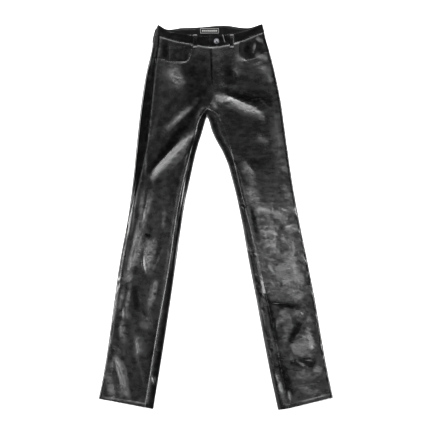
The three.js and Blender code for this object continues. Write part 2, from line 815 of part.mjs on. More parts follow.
// A front length of the waistband, from the side to the button.
function waistbandFront(name) {
  const side = SIDES[name];
  const isOver = name === "left";
  const topAt = (x) => bandTop(x, isOver);
  const rows = evenly(0, 1, BAND_ROWS).map((share) => {
    const raise = WAIST_HALF_GAP * (1 - share);
    const y = mix(side.levels.waist, side.levels.top, share) + raise;
    const edge = outerEdge(side, y);
    const start = side.roundAt(y) + OUTSEAM_HALF_GAP;
    const near = NEAR_EDGE.map((step) => roundAndOver(edge, start + step, BAND_WALL, topAt));
    const fromX = near[LAST_NEAR][0][0];
    const columns = isOver
      ? [
          ...evenly(fromX, OVER.noneX, ARM_COLUMNS - 3),
          ...evenly(OVER.fullX, OVER.endX, OVER.cells),
        ]
      : evenly(fromX, UNDER_END_X, ARM_COLUMNS);
    const rest = columns.slice(1).map((x) => {
      const rowY = mix(waistSeamY(x), frontTopY(x), share) + raise;
      return above(x, rowY, topAt(x), BAND_WALL);
    });
    return [...near, ...rest];
  });
  return wallOf(rows);
}

function toSolid(geometry) {
  const bare = geometry.clone();
  bare.deleteAttribute("normal");
  bare.deleteAttribute("uv");
  const merged = mergeVertices(bare, 1e-4);
  const vertProperties = merged.getAttribute("position").array;
  const triVerts = new Uint32Array(merged.index.array);
  return new wasm.Manifold(new wasm.Mesh({ numProp: 3, vertProperties, triVerts }));
}

function toGeometry(solid) {
  const { vertProperties, triVerts } = solid.getMesh();
  const geometry = new THREE.BufferGeometry();
  geometry.setAttribute("position", new THREE.BufferAttribute(vertProperties, 3));
  geometry.setIndex(new THREE.BufferAttribute(triVerts, 1));
  return geometry;
}

// A plate of even thickness, from its outline and the height of its underside.
function plate(outline, z, thickness) {
  const shape = new THREE.Shape(outline.map(([x, y]) => new THREE.Vector2(x, y)));
  const geometry = new THREE.ExtrudeGeometry(shape, { depth: thickness, bevelEnabled: false });
  return geometry.translate(0, 0, z);
}

// The upper front end, with the buttonhole cut through it.
function addOverBand() {
  const { x, length, width, cells } = BUTTONHOLE;
  const slot = [-1, 1].flatMap((end) =>
    evenly(-Math.PI / 2, Math.PI / 2, cells).map((turn) => [
      x + end * ((length - width) / 2 + (width / 2) * Math.cos(turn)),
      BUTTON.y + end * (width / 2) * Math.sin(turn),
    ]),
  );
  const cutter = toSolid(plate(slot, UNDER_BAND_TOP, OVER_RAISE + BAND_WALL));
  const band = toSolid(waistbandFront("left")).subtract(cutter);
  addPiece("waistband_left", toGeometry(band));
}

// The shank button, pushed through the buttonhole and standing on the under end.
function addButton() {
  const { x, y, radius, shank, turns } = BUTTON;
  const cap = OVER_RAISE + GAP;
  const profile = [
    [0, GAP],
    [shank, GAP],
    [shank, cap],
    [radius - 0.6, cap],
    [radius, cap + 0.7],
    [radius - 0.3, cap + 1.7],
    [radius - 1.5, cap + 2.3],
    [radius - 2.8, cap + 1.8],
    [shank, cap + 2.2],
    [0, cap + 2.4],
  ];
  const points = profile.map(([reach, height]) => new THREE.Vector2(reach, height));
  const button = new THREE.LatheGeometry(points, turns);
  button.rotateX(Math.PI / 2);
  button.translate(x, y, UNDER_BAND_TOP);
  addPiece("button", button, "metal");
}

// A front loop lies over the waistband and its seam, a little bowed.
function addFrontLoop(name, isOver) {
  const { topY, bottomY, bow } = FRONT_LOOP;
  const rows = evenly(0, 1, LOOP.cells).map((share) => {
    const y = mix(topY, bottomY, share);
    const rise = LOOP.clear + LOOP.wall + bow * Math.sin(Math.PI * share);
    return [-0.5, 0, 0.5].map((across) => {
      const x = FRONT_LOOPS[name] + across * LOOP.width;
      const base = Math.max(bandTop(x, isOver), frontTop(SIDES[name], x, y));
      return above(x, y, base + rise, LOOP.wall);
    });
  });
  addPiece(`belt_loop_front_${name}`, wallOf(rows));
}

// The loop at the right side bends round the fold there.
function addSideLoop() {
  const { topY, bottomY, sweep } = SIDE_LOOP;
  const middle = FOLD_ARC / 2;
  const reach = sweep * FOLD_RADIUS;
  const rows = evenly(topY, bottomY, LOOP.cells).map((y) =>
    evenly(middle - reach, middle + reach, 4).map((distance) =>
      onFold(outerEdge(SIDES.right, y), distance, LOOP.wall, GAP + LOOP.wall),
    ),
  );
  addPiece("belt_loop_side_right", wallOf(rows));
}

// A flat piece that lies under the garment, from its outline.
function addUnderneath(name, outline) {
  addPiece(name, plate(outline, 0, LEATHER));
}

function addBackLoop(name) {
  const { topY, bottomY } = BACK_LOOP;
  const [fromX, toX] = [-0.5, 0.5].map((across) => BACK_LOOPS[name] + across * LOOP.width);
  const outline = [
    [fromX, bottomY],
    [toX, bottomY],
    [toX, topY],
    [fromX, topY],
  ];
  addUnderneath(`belt_loop_back_${name}`, outline);
}

function addBackPocket(name) {
  const { topY, top, foot, shoulderY, pointY } = BACK_POCKET;
  const x = BACK_POCKETS[name];
  const outline = [
    [x - top, topY],
    [x - foot, shoulderY],
    [x, pointY],
    [x + foot, shoulderY],
    [x + top, topY],
  ];
  addUnderneath(`back_pocket_${name}`, outline);
}

for (const name of Object.keys(SIDES)) {
  addFront(name);
  addBack(name);
  addYoke(name);
  addPocketFacing(name);
  addBackPocket(name);
}
addCoinPocket();
addWaistbandBack();
addWaistbandFacing();
addLabel();
addPiece("waistband_right", waistbandFront("right"));
addOverBand();
addButton();
addFrontLoop("right", false);
addFrontLoop("left", true);
addSideLoop();
addBackLoop("centre");
addBackLoop("left");

export default garment;
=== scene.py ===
"""Leather trousers with five pockets, laid out flat on their back: the looks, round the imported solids.

Plan sizes are millimetres in the garment's own frame: +X to the viewer's right, +Y towards the
waist, +Z up. "right" and "left" are the wearer's sides, so the right leg lies on the -X side.
"""

import logging
import math
from collections.abc import Callable, Sequence
from dataclasses import dataclass
from enum import Enum

import bpy
import numpy as np
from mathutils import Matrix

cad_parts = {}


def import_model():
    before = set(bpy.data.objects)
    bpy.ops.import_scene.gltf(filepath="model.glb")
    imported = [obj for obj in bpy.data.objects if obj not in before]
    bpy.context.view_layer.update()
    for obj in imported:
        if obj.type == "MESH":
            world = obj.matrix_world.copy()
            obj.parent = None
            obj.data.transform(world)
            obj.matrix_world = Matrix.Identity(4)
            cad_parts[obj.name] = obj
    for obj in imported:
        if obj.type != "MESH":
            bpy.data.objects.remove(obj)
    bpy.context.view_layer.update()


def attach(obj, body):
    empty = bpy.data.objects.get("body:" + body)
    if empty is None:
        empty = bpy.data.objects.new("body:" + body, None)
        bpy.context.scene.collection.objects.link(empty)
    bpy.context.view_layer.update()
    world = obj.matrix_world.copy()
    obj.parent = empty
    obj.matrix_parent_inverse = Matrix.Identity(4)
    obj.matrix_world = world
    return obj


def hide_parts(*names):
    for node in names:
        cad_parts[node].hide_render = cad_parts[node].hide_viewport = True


LOG = logging.getLogger("trousers")
Array = np.ndarray
Curve = Callable[[Array], Array]
Table = Sequence[tuple[float, float]]

MM = 0.001
LEATHER = 1.3
HEM_WALL = 2.2
BAND_WALL = 2.4
BAND_FACING_WALL = 1.2
LABEL_WALL = 0.6
GAP = 0.3
SEAM = 0.15
OUTSEAM = 0.25
WAIST_SEAM_GAP = 0.25
LAYER_GAP = 0.5
FOLD_RADIUS = 2.8
FOLD_ARC = math.pi * FOLD_RADIUS
SEAT_LIFT = LEATHER + GAP
HIP_LIFT = LEATHER + GAP
YOKE_SIDE_Y = 498.0
YOKE_CENTRE_Y = 457.0
BAND_BACK_CENTRE_Y = 525.0
CROTCH_OUTER_Y = 345.0
CROTCH_SEAM_Y = 321.0
CROTCH_FOLD_Y = 299.0
SEAM_TOP_Y = 502.0 - WAIST_SEAM_GAP
HEM_DEPTH = 12.0
BAND_TOP = SEAT_LIFT + 5.5
OVER_RAISE = BAND_WALL + GAP
BAND_FACING_TOP = SEAT_LIFT + LEATHER + GAP + BAND_FACING_WALL


class SideName(Enum):
    """The wearer's two sides."""

    RIGHT = "right"
    LEFT = "left"


class Slot(Enum):
    """The record's material slots."""

    LEATHER = "leather"
    FACING = "facing"
    METAL = "metal"
    WOVEN = "woven"


def mix(start: Array, end: Array, share: Array) -> Array:
    """start + (end - start) * share."""
    return start + (end - start) * share


def ease(value: Array, start: float, end: float) -> Array:
    """Smooth step from 0 at start to 1 at end: t * t * (3 - 2t)."""
    t = np.clip((np.asarray(value) - start) / (end - start), 0.0, 1.0)
    return t * t * (3.0 - 2.0 * t)


def bump(value: Array, centre: float, reach: float) -> Array:
    """A soft hump: exp(-((value - centre) / reach) ** 2)."""
    return np.exp(-(((value - centre) / reach) ** 2))


def smooth_curve(table: Table) -> Curve:
    """A smooth curve through a short table.

    Formula: cubic Hermite pieces, with each slope the mean of its two chords, weighted by the
    other one's length.

    Args:
        table: Pairs of (where, value).

    Returns:
        A function from places to values, held level past the table's ends.
    """
    at, value = np.array(sorted(table), dtype=float).T
    gap = np.diff(at)
    chord = np.diff(value) / gap
    slope = np.empty_like(value)
    slope[0], slope[-1] = chord[0], chord[-1]
    slope[1:-1] = (chord[:-1] * gap[1:] + chord[1:] * gap[:-1]) / (gap[:-1] + gap[1:])

    def curve(where: Array) -> Array:
        """The table's smooth value at each place."""
        i = np.clip(np.searchsorted(at, where, side="right") - 1, 0, len(gap) - 1)
        t = np.clip((where - at[i]) / gap[i], 0.0, 1.0)
        rest = 1.0 - t
        start = value[i] * (1.0 + 2.0 * t) + slope[i] * gap[i] * t
        end = value[i + 1] * (1.0 + 2.0 * rest) - slope[i + 1] * gap[i] * rest
        return start * rest * rest + end * t * t

    return curve


def resample(points: Array, places: Array) -> Array:
    """Points at the given shares of a polyline's length, 0 at its start and 1 at its end."""
    steps = np.linalg.norm(np.diff(points, axis=0), axis=1)
    along = np.concatenate([[0.0], np.cumsum(steps)])
    along /= along[-1]
    return np.stack([np.interp(places, along, points[:, k]) for k in range(points.shape[1])], axis=-1)


@dataclass(frozen=True)
class Edge:
    """Points on a fold's outermost line, with the way inward from each, all as column arrays."""

    x: Array
    y: Array
    in_x: Array
    in_y: Array

    def inward(self, distance: Array) -> tuple[Array, Array]:
        """The plan points at a distance inward."""
        return self.x + self.in_x * distance, self.y + self.in_y * distance


class Side:
    """One side of the garment: its outer and inner folds and its seams, from the waist down."""

    def __init__(
        self,
        name: SideName,
        levels: tuple[float, float, float],
        hem: tuple[float, float, float],
        tables: dict[str, Table],
        opening: tuple[tuple[float, float], tuple[float, float], float],
    ) -> None:
        """Keeps the sizes and turns each table into a smooth curve of y.

        Args:
            name: The wearer's side.
            levels: The outer fold's heights at the band's top, the waist seam and the pocket's end.
            hem: The hem's heights at the outer fold, at the inseam and at the inner fold.
            tables: Tables of (y, value) named outer, inner, inseam, tilt and round.
            opening: The pocket opening's two handles and the x of its end at the waist seam.
        """
        self.name = name
        self.sign = 1.0 if name is SideName.RIGHT else -1.0
        self.top_y, self.waist_y, self.pocket_y = levels
        self.hem_outer, self.hem_seam, self.hem_inner = hem
        self.outer_x = smooth_curve(tables["outer"])
        self.inner_x = smooth_curve(tables["inner"])
        self.inseam_x = smooth_curve(tables["inseam"])
        self.tilt = smooth_curve(tables["tilt"])
        self.round = smooth_curve(tables["round"])
        self.opening = opening

    def edge(self, y: Array) -> Edge:
        """The outer fold at some heights."""
        y = np.asarray(y, dtype=float)
        tilt = self.tilt(y)
        return Edge(self.outer_x(y), y, self.sign * np.cos(tilt), -np.sin(tilt))

    def fold_distances(self, x: Array, y: Array) -> tuple[Array, Array]:
        """Plan distances from the outer fold, and from the inner one, which begins at the crotch."""
        above = np.maximum(y - CROTCH_FOLD_Y, 0.0)
        return np.abs(x - self.outer_x(y)), np.hypot(x - self.inner_x(y), above)

    def outseam_inset(self, y: Array) -> Array:
        """How far in from the outer fold the outseam lies, in plan."""
        return np.maximum(self.round(y) - FOLD_ARC + FOLD_RADIUS, 0.0)


RIGHT = Side(
    SideName.RIGHT,
    levels=(567.0, 538.0, 472.0),
    hem=(-536.0, -562.0, -566.0),
    tables={
        "outer": (
            (567, -171), (553, -177), (534, -182.5), (492, -189), (433, -203), (345, -218),
            (227, -232), (109, -244), (-9, -260), (-127, -282), (-245, -299), (-363, -315),
            (-481, -334), (-536, -345.5),
        ),
        "inner": (
            (299, -27), (285, -31), (256, -39), (197, -57), (109, -77), (50, -90), (-9, -100),
            (-127, -117), (-245, -134), (-363, -152), (-481, -171), (-566, -185),
        ),
        "inseam": (
            (321, -26), (299, -43), (234, -63), (125, -92), (53, -108), (-24, -121), (-142, -138),
            (-340, -174), (-562, -210),
        ),
        "tilt": ((567, 0.55), (538, 0.3), (472, 0.19), (345, 0.14), (-536, 0.18)),
        "round": (
            (567, 9.5), (538, 18), (472, 23), (348, 32), (227, 33), (109, 21), (-9, 9.5), (-150, 4.4),
            (-536, 4.4),
        ),
    },
    opening=((-118, 459), (-65, 433), -73),
)
LEFT = Side(
    SideName.LEFT,
    levels=(569.0, 545.0, 488.0),
    hem=(-533.0, -565.0, -569.0),
    tables={
        "outer": (
            (569, 137), (554, 141), (537, 144), (501, 154), (433, 172), (345, 190), (227, 207),
            (109, 224), (-9, 245), (-127, 269), (-245, 292), (-363, 312), (-481, 334), (-533, 345.5),
        ),
        "inner": (
            (299, -27), (286, -21), (256, -12), (227, 1), (197, 18), (168, 31), (109, 49), (-9, 76),
            (-127, 97), (-245, 120), (-363, 142), (-481, 165), (-569, 184),
        ),
        "inseam": (
            (321, -26), (310, -4), (280, 16), (221, 39), (171, 52), (75, 75), (-116, 123), (-324, 169),
            (-565, 215),
        ),
        "tilt": ((569, 0.33), (545, 0.33), (488, 0.2), (345, 0.12), (-533, 0.23)),
        "round": ((569, 4.4), (-533, 4.4)),
    },
    opening=((126, 481), (50, 426), 71),
)
SIDES = (RIGHT, LEFT)
NEAR_END = 6.5
FAR = 99.0

centre_front_x = smooth_curve(((502, -15), (478, -13), (404, -11), (368, -5), (345, -12), (321, -26)))
centre_back_x = smooth_curve(((525, -18), (299, -27)))


def even_start(side: Side, y: Array) -> tuple[Array, Array]:
    """Where a front piece's close places beside the outseam end."""
    past = side.round(y) + OUTSEAM + NEAR_END - FOLD_ARC
    return side.edge(y).inward(FOLD_RADIUS + past)


def fold_start(side: Side, y: Array) -> tuple[Array, Array]:
    """Where the under side ends and the outer fold begins."""
    return side.edge(y).inward(FOLD_RADIUS)


def across_curve(table: Table, ends: Sequence[tuple[Array, Array]]) -> Curve:
    """An edge across the garment through a table of (x, y) and its two ends."""
    return smooth_curve([*table, *((float(x), float(y)) for x, y in ends)])


waist_seam_y = across_curve(
    ((-121, 520), (-71, 511), (-16, 502), (20, 506), (71, 518), (117, 536)),
    [even_start(side, side.waist_y) for side in SIDES],
)
front_top_y = across_curve(
    ((-155, 557), (-96, 543), (-66, 539), (27, 539), (59, 545), (95, 555)),
    [even_start(side, side.top_y) for side in SIDES],
)
back_top_y = across_curve(
    ((-155, 557), (-96, 558), (-40, 560), (3, 564), (37, 564), (69, 559), (100, 558)),
    [fold_start(side, side.top_y) for side in SIDES],
)


def back_waist_y(x: Array) -> Array:
    """The seam of the yokes and the waistband's back length, straight on each side of the centre."""
    centre = float(centre_back_x(np.array(BAND_BACK_CENTRE_Y)))
    (right_x, right_y), (left_x, left_y) = (fold_start(side, side.waist_y) for side in SIDES)
    return np.interp(x, [right_x, centre, left_x], [right_y, BAND_BACK_CENTRE_Y, left_y])


def lift_at(y: Array) -> Array:
    """Height of the back layer's underside: the patch pockets and loops under the seat carry it."""
    return SEAT_LIFT * ease(y, 236.0, 300.0)


class Noise:
    """Smooth value noise on a lattice, seeded, for crumples.

    Formula: random values on a lattice of cells, blended with t * t * (3 - 2t) on both axes.
    """

    SIZE = 64

    def __init__(self, seed: int) -> None:
        """Draws the lattice's values from the seed."""
        self.values = np.random.default_rng(seed).uniform(-1.0, 1.0, (self.SIZE, self.SIZE))

    def at(self, u: Array, v: Array) -> Array:
        """The noise at lattice places u and v, from -1 to 1."""
        i, j = np.floor(u).astype(int), np.floor(v).astype(int)
        s, t = u - i, v - j
        s, t = s * s * (3.0 - 2.0 * s), t * t * (3.0 - 2.0 * t)
        i0, j0 = i % self.SIZE, j % self.SIZE
        i1, j1 = (i + 1) % self.SIZE, (j + 1) % self.SIZE
        low = mix(self.values[i0, j0], self.values[i1, j0], s)
        high = mix(self.values[i0, j1], self.values[i1, j1], s)
        return mix(low, high, t)

    def ridged(self, u: Array, v: Array) -> Array:
        """Sharp ridges where the noise passes zero: 1 - |noise| * 2, at least -1."""
        return 1.0 - 2.0 * np.abs(self.at(u, v))


@dataclass(frozen=True)
class Fold:
    """A ridge from one place to another, or a trough where its height is negative.

    Formula: height * (1 - r * r) ** 2 * sin(pi * t) ** taper, with t the share of its run and r
    the distance from its bowed line over its reach, which is shorter on one side where it leans.
    """

    x: float
    y: float
    to_x: float
    to_y: float
    reach: float
    height: float
    bow: float = 0.0
    lean: float = 0.0
    taper: float = 0.7

    def at(self, x: Array, y: Array) -> Array:
        """The fold's height at plan places."""
        run_x, run_y = self.to_x - self.x, self.to_y - self.y
        length = math.hypot(run_x, run_y)
        t = ((x - self.x) * run_x + (y - self.y) * run_y) / length**2
        off = ((x - self.x) * run_y - (y - self.y) * run_x) / length
        inside = np.clip(t, 0.0, 1.0)
        off = off - self.bow * 4.0 * inside * (1.0 - inside)
        r = off / (self.reach * (1.0 + self.lean * np.tanh(off / self.reach * 3.0)))
        body = np.where(np.abs(r) < 1.0, (1.0 - r * r) ** 2, 0.0)
        return self.height * body * np.sin(math.pi * inside) ** self.taper


def folds(*rows: tuple[float, ...]) -> tuple[Fold, ...]:
    """Folds from rows of x, y, to x, to y, reach and height, then bow, lean and taper where set."""
    return tuple(Fold(*row) for row in rows)


# The folds that the solids have too.
MAIN_FOLDS = folds(
    (-64, 252, -191, 112, 19, 2.4), (-65, 323, -141, 252, 18, 1.7), (-129, 433, -97, 386, 20, 1.2),
    (-222, -9, -252, -171, 17, 1.9), (-196, -68, -202, -160, 16, 1.7),
    (-271, -289, -274, -363, 17, 1.4), (-288, -410, -262, -514, 17, 1.7), (3, 354, 142, 287, 19, 2.2),
    (143, 441, 154, 376, 16, 1.3), (59, 180, 107, 115, 18, 1.4), (148, 20, 160, -112, 24, 1.6),
    (213, -24, 219, -216, 24, 1.8), (262, -350, 280, -405, 20, 1.8), (200, -270, 212, -335, 18, 1.2),
    (219, -407, 293, -440, 18, -1.1), (242, -332, 222, -357, 14, -0.8),
)
# The finer ridges and troughs, which only the scene has.
CREASES = folds(
    (-54, 262, -201, 126, 14, -1.7, 3), (-66, 238, -190, 100, 18, 2.6, -5),
    (-50, 368, -141, 268, 18, -1.3, -6), (-150, 330, -190, 210, 16, 0.6),
    (-200, 188, -203, 126, 13, 1.0), (-236, -206, -232, -284, 19, -0.7),
    (-302, -404, -252, -532, 20, 1.8, -4, -0.3), (-178, -188, -182, -250, 14, 1.2, 0, 0.3),
    (-202, 70, -222, -30, 6, -0.7), (-216, -108, -209, -168, 7, -1.3, 3),
    (-160, -84, -196, -160, 10, -0.6, -3), (-198, -66, -204, -162, 16, -1.2),
    (-236, -86, -246, -134, 6, -0.8), (-292, -196, -250, -182, 5, -1.1, 2),
    (-296, -186, -262, -178, 4, 0.7), (-286, -208, -262, -196, 4, 0.8),
    (-270, -262, -268, -300, 9, 1.3), (-210, -260, -190, -330, 14, -0.6),
    (-233, -352, -222, -420, 12, 1.0, -3), (-308, -380, -286, -394, 5, -1.2),
    (-308, -408, -280, -404, 4, 0.9), (-300, -420, -276, -480, 6, -0.9),
    (-250, -380, -216, -500, 12, -0.6), (-236, -430, -222, -500, 9, 0.4),
    (8, 370, 152, 304, 16, -1.4, -7), (-2, 344, 142, 268, 32, 0.9, -7),
    (8, 404, 150, 344, 34, -1.0, -6), (84, 150, 116, 104, 24, 0.8, 0, 0.3),
    (104, 232, 146, 196, 30, 1.2), (110, 10, 170, 22, 16, 1.8), (168, -2, 236, 20, 20, 2.0),
    (204, -34, 246, -40, 11, 1.4), (146, -54, 180, -46, 12, 1.4), (150, -104, 172, -80, 13, 1.4),
    (186, -160, 262, -120, 26, 2.2), (196, -236, 246, -170, 26, 2.0),
    (244, -344, 282, -404, 28, 2.4, 0, -0.3), (278, -452, 312, -458, 15, 1.2),
    (4, 380, 40, 394, 4, -0.7), (20, 300, 90, 250, 14, -0.8), (54, 436, 60, 408, 10, 0.8),
    (70, 470, 96, 446, 10, 0.6), (110, 440, 140, 456, 9, 0.6), (112, 72, 200, 66, 5, -0.6, -3),
    (104, 46, 196, 44, 5, -0.6, 2), (122, 20, 160, 14, 8, 1.2), (178, 26, 222, 4, 9, 1.1),
    (200, -28, 236, -16, 7, -1.3), (205, -44, 236, -36, 8, 1.1), (112, -20, 190, -26, 5, -0.8, 3),
    (130, -44, 172, -52, 9, 1.2), (140, -96, 176, -86, 9, 1.1, -4),
    (100, -104, 166, -126, 4, -1.4, -3), (180, -130, 240, -140, 4, -0.9, 2),
    (176, -116, 244, -108, 10, 1.1), (150, -140, 172, -176, 9, 1.1),
    (190, -158, 232, -150, 11, 1.3, 4), (136, -170, 150, -232, 8, -1.0),
    (196, -196, 250, -186, 9, 1.0), (186, -226, 244, -206, 9, 0.9, -4),
    (150, -256, 226, -252, 5, -1.3, 4), (232, -272, 268, -286, 5, -1.3),
    (190, -272, 226, -276, 9, 1.0), (180, -290, 172, -340, 8, 0.8),
    (246, -318, 210, -362, 11, -0.8, 4), (250, -322, 292, -340, 6, 0.8),
    (232, -352, 292, -366, 13, 0.8, -5), (214, -410, 296, -432, 12, -0.8, 4),
    (212, -450, 262, -456, 8, 0.7), (220, -506, 322, -500, 4, -0.8, -3),
    (210, -512, 216, -552, 7, 1.0), (-86, 120, -106, -10, 5, 0.7), (-112, -60, -124, -160, 5, 0.8),
    (-168, -396, -186, -392, 3, -0.8), (-170, -408, -190, -404, 3, -0.7),
    (-186, -470, -176, -500, 6, 1.0), (84, -58, 104, -116, 5, 0.8), (106, -140, 100, -152, 4, -1.1),
    (104, -160, 118, -220, 5, 0.9), (118, -226, 134, -232, 4, -1.1), (124, -244, 142, -330, 6, 0.9),
    (140, -352, 162, -358, 4, -0.9), (146, -372, 160, -430, 6, 0.8), (166, -440, 180, -446, 4, -0.9),
    (172, -460, 190, -530, 7, 0.8), (66, 36, 86, 28, 3.5, -1.5), (90, -103, 110, -109, 3.5, -1.5),
    (106, -183, 126, -196, 3.5, -1.5), (122, -266, 142, -276, 3.5, -1.5),
    (146, -387, 166, -394, 3.5, -1.5), (156, -443, 174, -447, 3.5, -1.2),
)


@dataclass(frozen=True)
class Crumple:
    """A patch of crumpled leather: ridged noise that fades out past a soft box.

    Formula: height * ridged(x / cell_x, y / cell_y) * mask, plus half of it at half the size.
    """

    low: tuple[float, float]
    high: tuple[float, float]
    cell: tuple[float, float]
    height: float
    seed: int
    fade: float = 22.0

    def mask(self, x: Array, y: Array) -> Array:
        """1 inside the soft box and 0 outside it."""
        mask = ease(x, self.low[0] - self.fade, self.low[0] + self.fade)
        mask = mask * (1.0 - ease(x, self.high[0] - self.fade, self.high[0] + self.fade))
        mask = mask * ease(y, self.low[1] - self.fade, self.low[1] + self.fade)
        return mask * (1.0 - ease(y, self.high[1] - self.fade, self.high[1] + self.fade))

    def at(self, x: Array, y: Array) -> Array:
        """The crumple's height at plan places."""
        mask = self.mask(x, y)
        noise = Noise(self.seed)
        u, v = x / self.cell[0], y / self.cell[1]
        warp = 0.6 * noise.at(u * 0.5 + 7.3, v * 0.5 + 1.9)
        coarse = noise.ridged(u + warp, v + warp)
        fine = noise.ridged(2.1 * u + 11.0 + warp, 2.1 * v + 5.0)
        return self.height * mask * (coarse + 0.5 * fine)


@dataclass(frozen=True)
class EdgePuff:
    """A soft ridge that follows one folded edge of a leg, uneven along it.

    Formula: height * exp(-((distance - inset) / reach) ** 2) * (0.75 + 0.6 * noise(y / 37)).
    """

    side: SideName
    inner: bool
    top_y: float
    foot_y: float
    inset: float
    reach: float
    height: float
    seed: int

    def at(self, distance: Array, y: Array) -> Array:
        """The ridge's height at distances from the edge."""
        along = ease(self.top_y - y, 0.0, 60.0) * ease(y - self.foot_y, 0.0, 60.0)
        uneven = 0.75 + 0.6 * Noise(self.seed).at(y / 37.0, 0.0 * y + 0.5)
        return self.height * along * uneven * bump(distance, self.inset, self.reach)


EDGE_PUFFS = (
    EdgePuff(SideName.RIGHT, False, 120.0, -400.0, 11.5, 5.0, 0.9, seed=51),
    EdgePuff(SideName.RIGHT, True, 200.0, -180.0, 9.0, 3.8, 0.4, seed=52),
    EdgePuff(SideName.LEFT, True, 180.0, -560.0, 8.0, 3.8, 0.5, seed=54),
)

CRUMPLES = (
    Crumple((112, -246), (296, 30), (21, 13), 0.5, seed=11),
    Crumple((60, 20), (250, 230), (60, 9), 0.22, seed=12),
    Crumple((170, -520), (330, -246), (32, 13), 0.5, seed=13),
    Crumple((0, 280), (150, 356), (12, 9), 0.4, seed=14, fade=14.0),
    Crumple((-330, -540), (-180, -180), (46, 60), 0.22, seed=15),
    Crumple((-250, -120), (-110, 120), (30, 70), 0.2, seed=16),
    Crumple((-180, 120), (-60, 250), (13, 9), 0.12, seed=17, fade=14.0),
    Crumple((-190, 300), (160, 480), (60, 70), 0.3, seed=18),
)


# Where the leather's face is dulled as worn and its colour lifted as a painted highlight (above 0), or
# sleek (below 0); a row's height is how much.
WEAR_AND_PAINTED_HIGHLIGHT_PLACES = folds(
    (-134, 438, -97, 383, 24, 0.45), (-150, 451, -88, 374, 42, 0.3), (-118, 460, -84, 456, 5, 0.9),
    (-82, 458, -76, 486, 5, 0.6), (-171, 512, -180, 470, 9, 0.6), (-62, 428, -26, 383, 18, 0.15),
    (59, 481, 83, 451, 14, 0.5), (115, 481, 154, 463, 13, 0.55), (121, 451, 156, 422, 19, 0.4),
    (53, 445, 71, 416, 15, 0.35), (142, 418, 169, 396, 13, 0.45), (-20, 366, 150, 290, 26, 0.42),
    (-4, 356, 34, 341, 13, 0.6), (44, 342, 110, 310, 17, 0.5), (172, 330, 204, 110, 32, 0.3),
    (-14, 344, 5, 318, 11, 0.5), (-59, 259, -194, 106, 18, 0.9), (-76, 221, -165, 109, 24, 0.25),
    (-66, 340, -162, 244, 16, 0.4), (-30, 323, -80, 282, 17, 0.25), (-215, 84, -224, -39, 10, 0.45),
    (-185, 86, -218, -39, 12, 0.45), (-150, 20, -156, -38, 8, 0.45), (-222, -20, -241, -150, 19, 0.9),
    (-245, -112, -262, -192, 18, 0.8), (-200, -54, -197, -170, 25, 0.65),
    (-174, -60, -194, -136, 13, 0.3), (-273, -187, -245, -172, 9, 0.6),
    (-270, -206, -290, -284, 10, 0.65), (-252, -196, -266, -290, 8, 0.5),
    (-176, -186, -186, -250, 11, 0.9), (-194, -224, -194, -278, 13, 0.5),
    (-286, -285, -248, -296, 15, 0.6), (-277, -306, -268, -384, 15, 0.55),
    (-230, -350, -223, -408, 20, 0.5), (-200, -280, -210, -340, 26, 0.25),
    (-292, -404, -314, -460, 13, 0.6), (-294, -396, -258, -540, 15, 0.95),
    (-318, -456, -306, -536, 16, 0.9), (-286, -490, -276, -536, 11, 0.5),
    (-180, -466, -180, -488, 6, 0.9), (118, 241, 160, 219, 15, 0.3), (80, 164, 112, 90, 19, 0.6),
    (96, 96, 128, 20, 26, 0.3), (190, 152, 215, 131, 11, 0.4), (93, 96, 114, 34, 19, 0.35),
    (196, 100, 222, 42, 15, 0.3), (128, 60, 192, -270, 62, 0.32, 0, 0, 0.5),
    (208, 60, 250, -270, 48, 0.25, 0, 0, 0.5), (122, 24, 162, 9, 14, 1.1), (164, 14, 212, -9, 17, 1.1),
    (134, -37, 171, -57, 13, 0.6), (205, -46, 244, -35, 11, 0.9), (146, -70, 179, -93, 14, 0.6),
    (190, -58, 221, -78, 13, 0.4), (199, -107, 232, -135, 17, 0.9), (164, -94, 191, -110, 13, 0.5),
    (154, -133, 169, -151, 9, 0.5), (178, -146, 221, -202, 21, 1.0), (211, -134, 258, -202, 21, 1.0),
    (212, -216, 258, -240, 18, 1.0), (203, -272, 191, -316, 16, 0.75),
    (222, -287, 257, -282, 12, 0.45), (267, -296, 283, -312, 12, 0.75),
    (203, -318, 214, -340, 13, 0.55), (200, -342, 208, -372, 11, 0.4), (270, -322, 280, -360, 15, 0.9),
    (226, -396, 292, -362, 30, 1.2, 0, 0, 0.4), (228, -399, 286, -411, 9, 0.6),
    (287, -445, 313, -455, 14, 1.1), (246, -453, 280, -464, 13, 0.55),
    (230, -468, 298, -473, 14, 0.35), (240, -504, 304, -517, 15, 0.5), (215, -510, 220, -542, 9, 0.7),
    (188, -490, 196, -542, 9, 0.5), (-50, 328, -200, 128, 16, -0.7), (12, 366, 170, 342, 26, -0.7),
    (84, 162, 164, 158, 20, -0.35), (118, 530, 141, 513, 9, 0.9), (116, 515, 110, 481, 5, 0.7),
    (-148, 520, -148, 470, 12, -0.5), (100, 520, 90, 470, 14, -0.3),
    (-336, -531, -206, -552, 4, 1.0, 0, 0, 0.3), (255, -545, 337, -522, 4, 1.1, 0, 0, 0.3),
    (-14, 500, -11, 388, 4, -0.8), (-60, 480, -50, 280, 56, -0.35), (30, 480, 40, 380, 30, -0.35),
    (-211, -53, -192, -57, 8, -0.9), (-236, -200, -226, -284, 20, -0.4),
    (154, -252, 248, -268, 12, -0.7), (250, -306, 217, -372, 14, -0.6),
    (216, -427, 300, -434, 20, -0.5), (178, -400, 222, -535, 20, -0.7),
    (136, -190, 182, -380, 15, -0.6), (104, 34, 128, -80, 10, -0.6),
    (-160, -300, -190, -500, 30, -0.25),
)


